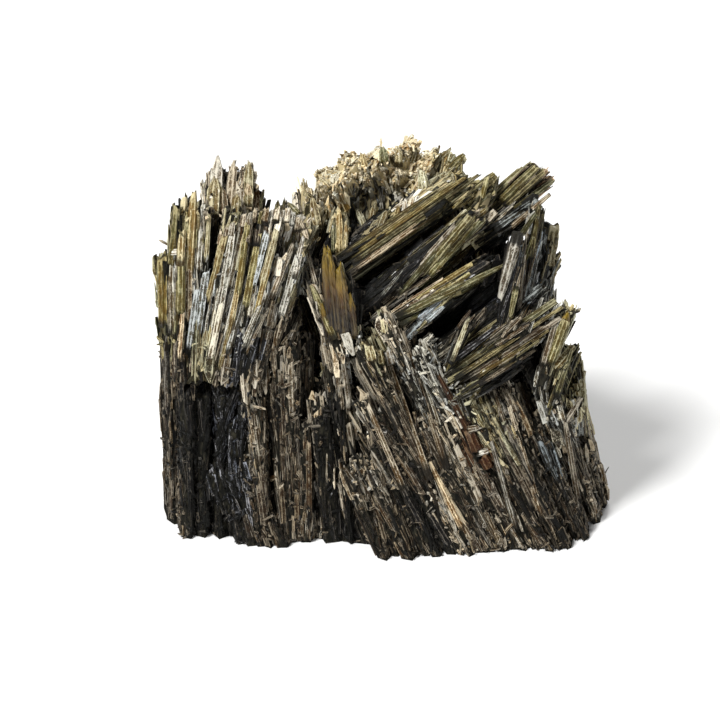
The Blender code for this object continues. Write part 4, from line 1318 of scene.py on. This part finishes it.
picked = []
front = ~on_end & ~crumb & whole & (outward @ sheet_out > FACES_FRONT)
for piece, tried in BLADES_TRIED.items():
    picked.append(dice.permutation(np.flatnonzero(front & (piece_names == piece)))[:tried])
picked = np.concatenate(picked)
blade_width = between(np.repeat([BLADE_WIDTH], len(picked), axis=0))
blade_reach = between(np.repeat([BLADE_REACH], len(picked), axis=0))
apart = keep_apart(spots[picked], direction[picked], outward[picked], BLADE_GAP * blade_width, blade_reach)
picked, blade_width, blade_reach = picked[apart], blade_width[apart], blade_reach[apart]
blade_ends = []
for spot, along, reach in zip(spots[picked], direction[picked], blade_reach):
    up_to = walk(spot, along, reach / 2, BLADE_PAST_TOP * dice.random())
    down_to = walk(spot, -along, reach / 2, BLADE_PAST_ROOT)
    blade_ends.append((spot - along * down_to, spot + along * up_to))
blade_ends = np.array(blade_ends)
long_enough = np.linalg.norm(blade_ends[:, 1] - blade_ends[:, 0], axis=1) > SHORTEST_BLADE
picked, blade_width, blade_ends = picked[long_enough], blade_width[long_enough], blade_ends[long_enough]
blade_thick = blade_width * (BLADE_THINNEST + BLADE_MORE_THICK * dice.random(len(picked)))
blade_point = MOST_POINTED * dice.random(len(picked))
blade_sunk = blade_width * (2 * BLADE_SINK * dice.random(len(picked)) - BLADE_SINK)
blades = shape_blades(blade_ends[:, 0], blade_ends[:, 1], outward[picked], blade_width, blade_thick,
                      blade_point, blade_sunk, BLADE_FLUTES, BLADE_HOOPS)
blades.corners[:] = np.clip(blades.corners, *box)
blade_finish = tone_finish(tone_names[picked], BLADE_SPREAD, sky[picked])
blade_finish["share"] -= LARGE_SHARE
crystal_object("long_blades", blades, np.arange(len(picked)), blade_finish, crusted)

# %% Make the single crystals
SINGLE_THINNEST, SINGLE_MORE_THICK = 0.55, 0.25
SINGLE_FLUTES, SINGLE_HOOPS = 14, 14
SINGLE_SPREAD = 0.15
LEAST_SKY = 0.5

single_start, single_end = single_ends[:, 0], single_ends[:, 1]
single_facing = np.repeat(sheet_out[None], len(single_rows), axis=0)
single_point = np.array([single.point for single in single_rows])
single_thick = single_width * (SINGLE_THINNEST + SINGLE_MORE_THICK * dice.random(len(single_rows)))
singles = shape_blades(single_start, single_end, single_facing, single_width, single_thick, single_point,
                       np.zeros(len(single_rows)), SINGLE_FLUTES, SINGLE_HOOPS)
singles.corners[:] = np.clip(singles.corners, *box)
single_sky = np.array([open_sky(spot, sheet_out) for spot in single_ends.mean(axis=1)])
single_tones = [single.tone for single in single_rows]
# Single crystals see at least half of their sky, so their painted shade stays light.
single_finish = tone_finish(single_tones, SINGLE_SPREAD, np.maximum(single_sky, LEAST_SKY))
single_finish["share"] -= LARGE_SHARE
for piece in SINGLES:
    material = glassy if piece == "glassy_strokes" else crusted
    crystal_object(piece, singles, np.flatnonzero(single_piece == piece), single_finish, material)

# %% [markdown]
# ## The golden crystals
#
# A few thicker crystals stand up from the hollow and at the right side. Their colour runs from nearly black
# at the roots to olive gold at the tips: their own honey colour, with the light that comes through the tips
# painted in. They have the same fluted form as the blades, only with more flutes, and a material of their
# own that follows the distance from the root.

# %% The golden crystals
GOLDEN_FLUTES, GOLDEN_HOOPS = 28, 24
GOLDEN_THICK = 0.95
GOLDEN_POINT = 0.6

golden_start, golden_end = (np.array([row[i] for row in GOLDEN], float) for i in range(2))
golden_width = np.array([row[2] for row in GOLDEN])
golden = shape_blades(golden_start, golden_end, np.repeat(sheet_out[None], len(GOLDEN), axis=0), golden_width,
                      golden_width * GOLDEN_THICK, np.full(len(GOLDEN), GOLDEN_POINT), np.zeros(len(GOLDEN)),
                      GOLDEN_FLUTES, GOLDEN_HOOPS)
print("the widest golden crystal is", golden_width.max(), "mm")

# %% Honey-coloured epidote: dark at the root, gold at the tip, with dark gashes and pale stripes
honey, shader = plain_material("honey_epidote", (0.1, 0.07, 0.02), 0.32)
tree = Nodes(honey.node_tree)
own_grain, along = tree.read("grain_space", "Vector"), tree.read("along")
stripe = tree.ramp(tree.noise(own_grain, (2.6, 0.12, 2.6), 3.0, 0.6), 0.45, 0.6)
gash = tree.ramp(tree.noise(own_grain, (3.4, 0.2, 3.4), 3.0, 0.6), 0.52, 0.44)
cloud = tree.ramp(tree.noise(own_grain, (1.2, 0.4, 1.2), 2.0, 0.5), 0.4, 0.65)
# Painted light: the ramp from the near-black root to the gold tip stands for light coming through the tip.
lower = tree.mix(tree.ramp(along, 0.34, 0.7), paint(10, 6, 4), paint(72, 46, 13))
whole_run = tree.mix(tree.ramp(along, 0.6, 1.0), lower, paint(132, 110, 36))
clouded = tree.mix(tree.math("MULTIPLY", cloud, 0.5), whole_run, paint(34, 22, 9))
lined = tree.mix(tree.math("MULTIPLY", gash, 0.75), clouded, paint(18, 11, 6))
striped = tree.mix(tree.math("MULTIPLY", stripe, 0.34), lined, paint(122, 104, 66))
tree.feed(shader.inputs["Base Color"], striped)
add_bump(tree, shader, stripe, 0.5, 0.06 * MM)
shader.inputs["IOR"].default_value = EPIDOTE_IOR
shader.inputs["Specular IOR Level"].default_value = 0.2
crystal_object("golden_crystals", golden, np.arange(len(GOLDEN)), {}, honey)

# %% [markdown]
# ## The prisms under the fine crystals
#
# Little of the packed part shows between the columns, and what shows lies deep. So it is nearly black: the
# colour of fresh epidote darkened further as painted shade for the deep gaps, with a faint grain. Only the
# cap of the ridge is weathered pale all through.

# %% The material of the packed part; the cap's limits are in metres
CAP_RISES = (0.039, 0.044)
CAP_SIDES = (0.015, 0.011)

dark_epidote, shader = plain_material("dark_epidote", (0.006, 0.006, 0.005), 0.75)
tree = Nodes(dark_epidote.node_tree)
where = tree.add("ShaderNodeTexCoord").outputs["Object"]
fleck = tree.ramp(tree.noise(where, (2600, 2600, 700), 3.0, 0.6), 0.45, 0.7)
# Painted shade: the prism faces between the columns are kept near black.
deep = tree.mix(fleck, BLACK, (0.03, 0.027, 0.018, 1))
height = tree.add("ShaderNodeSeparateXYZ")
tree.feed(height.inputs[0], where)
weathered = tree.math("MULTIPLY", tree.ramp(height.outputs["Z"], *CAP_RISES),
                      tree.ramp(tree.math("ABSOLUTE", height.outputs["X"]), *CAP_SIDES))
tree.feed(shader.inputs["Base Color"], tree.mix(weathered, deep, paint(168, 154, 118)))
shader.inputs["Specular IOR Level"].default_value = 0.08
stone.data.materials.clear()
stone.data.materials.append(dark_epidote)
print("the prisms are dark, and the ridge cap is pale")

# %% Sizes
new_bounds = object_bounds()
growth = [round(float(new_high - new_low - high + low) / MM, 2)
          for low, high, new_low, new_high in zip(*cad_bounds, *new_bounds)]
print("the dressed part is larger by", growth, "mm")
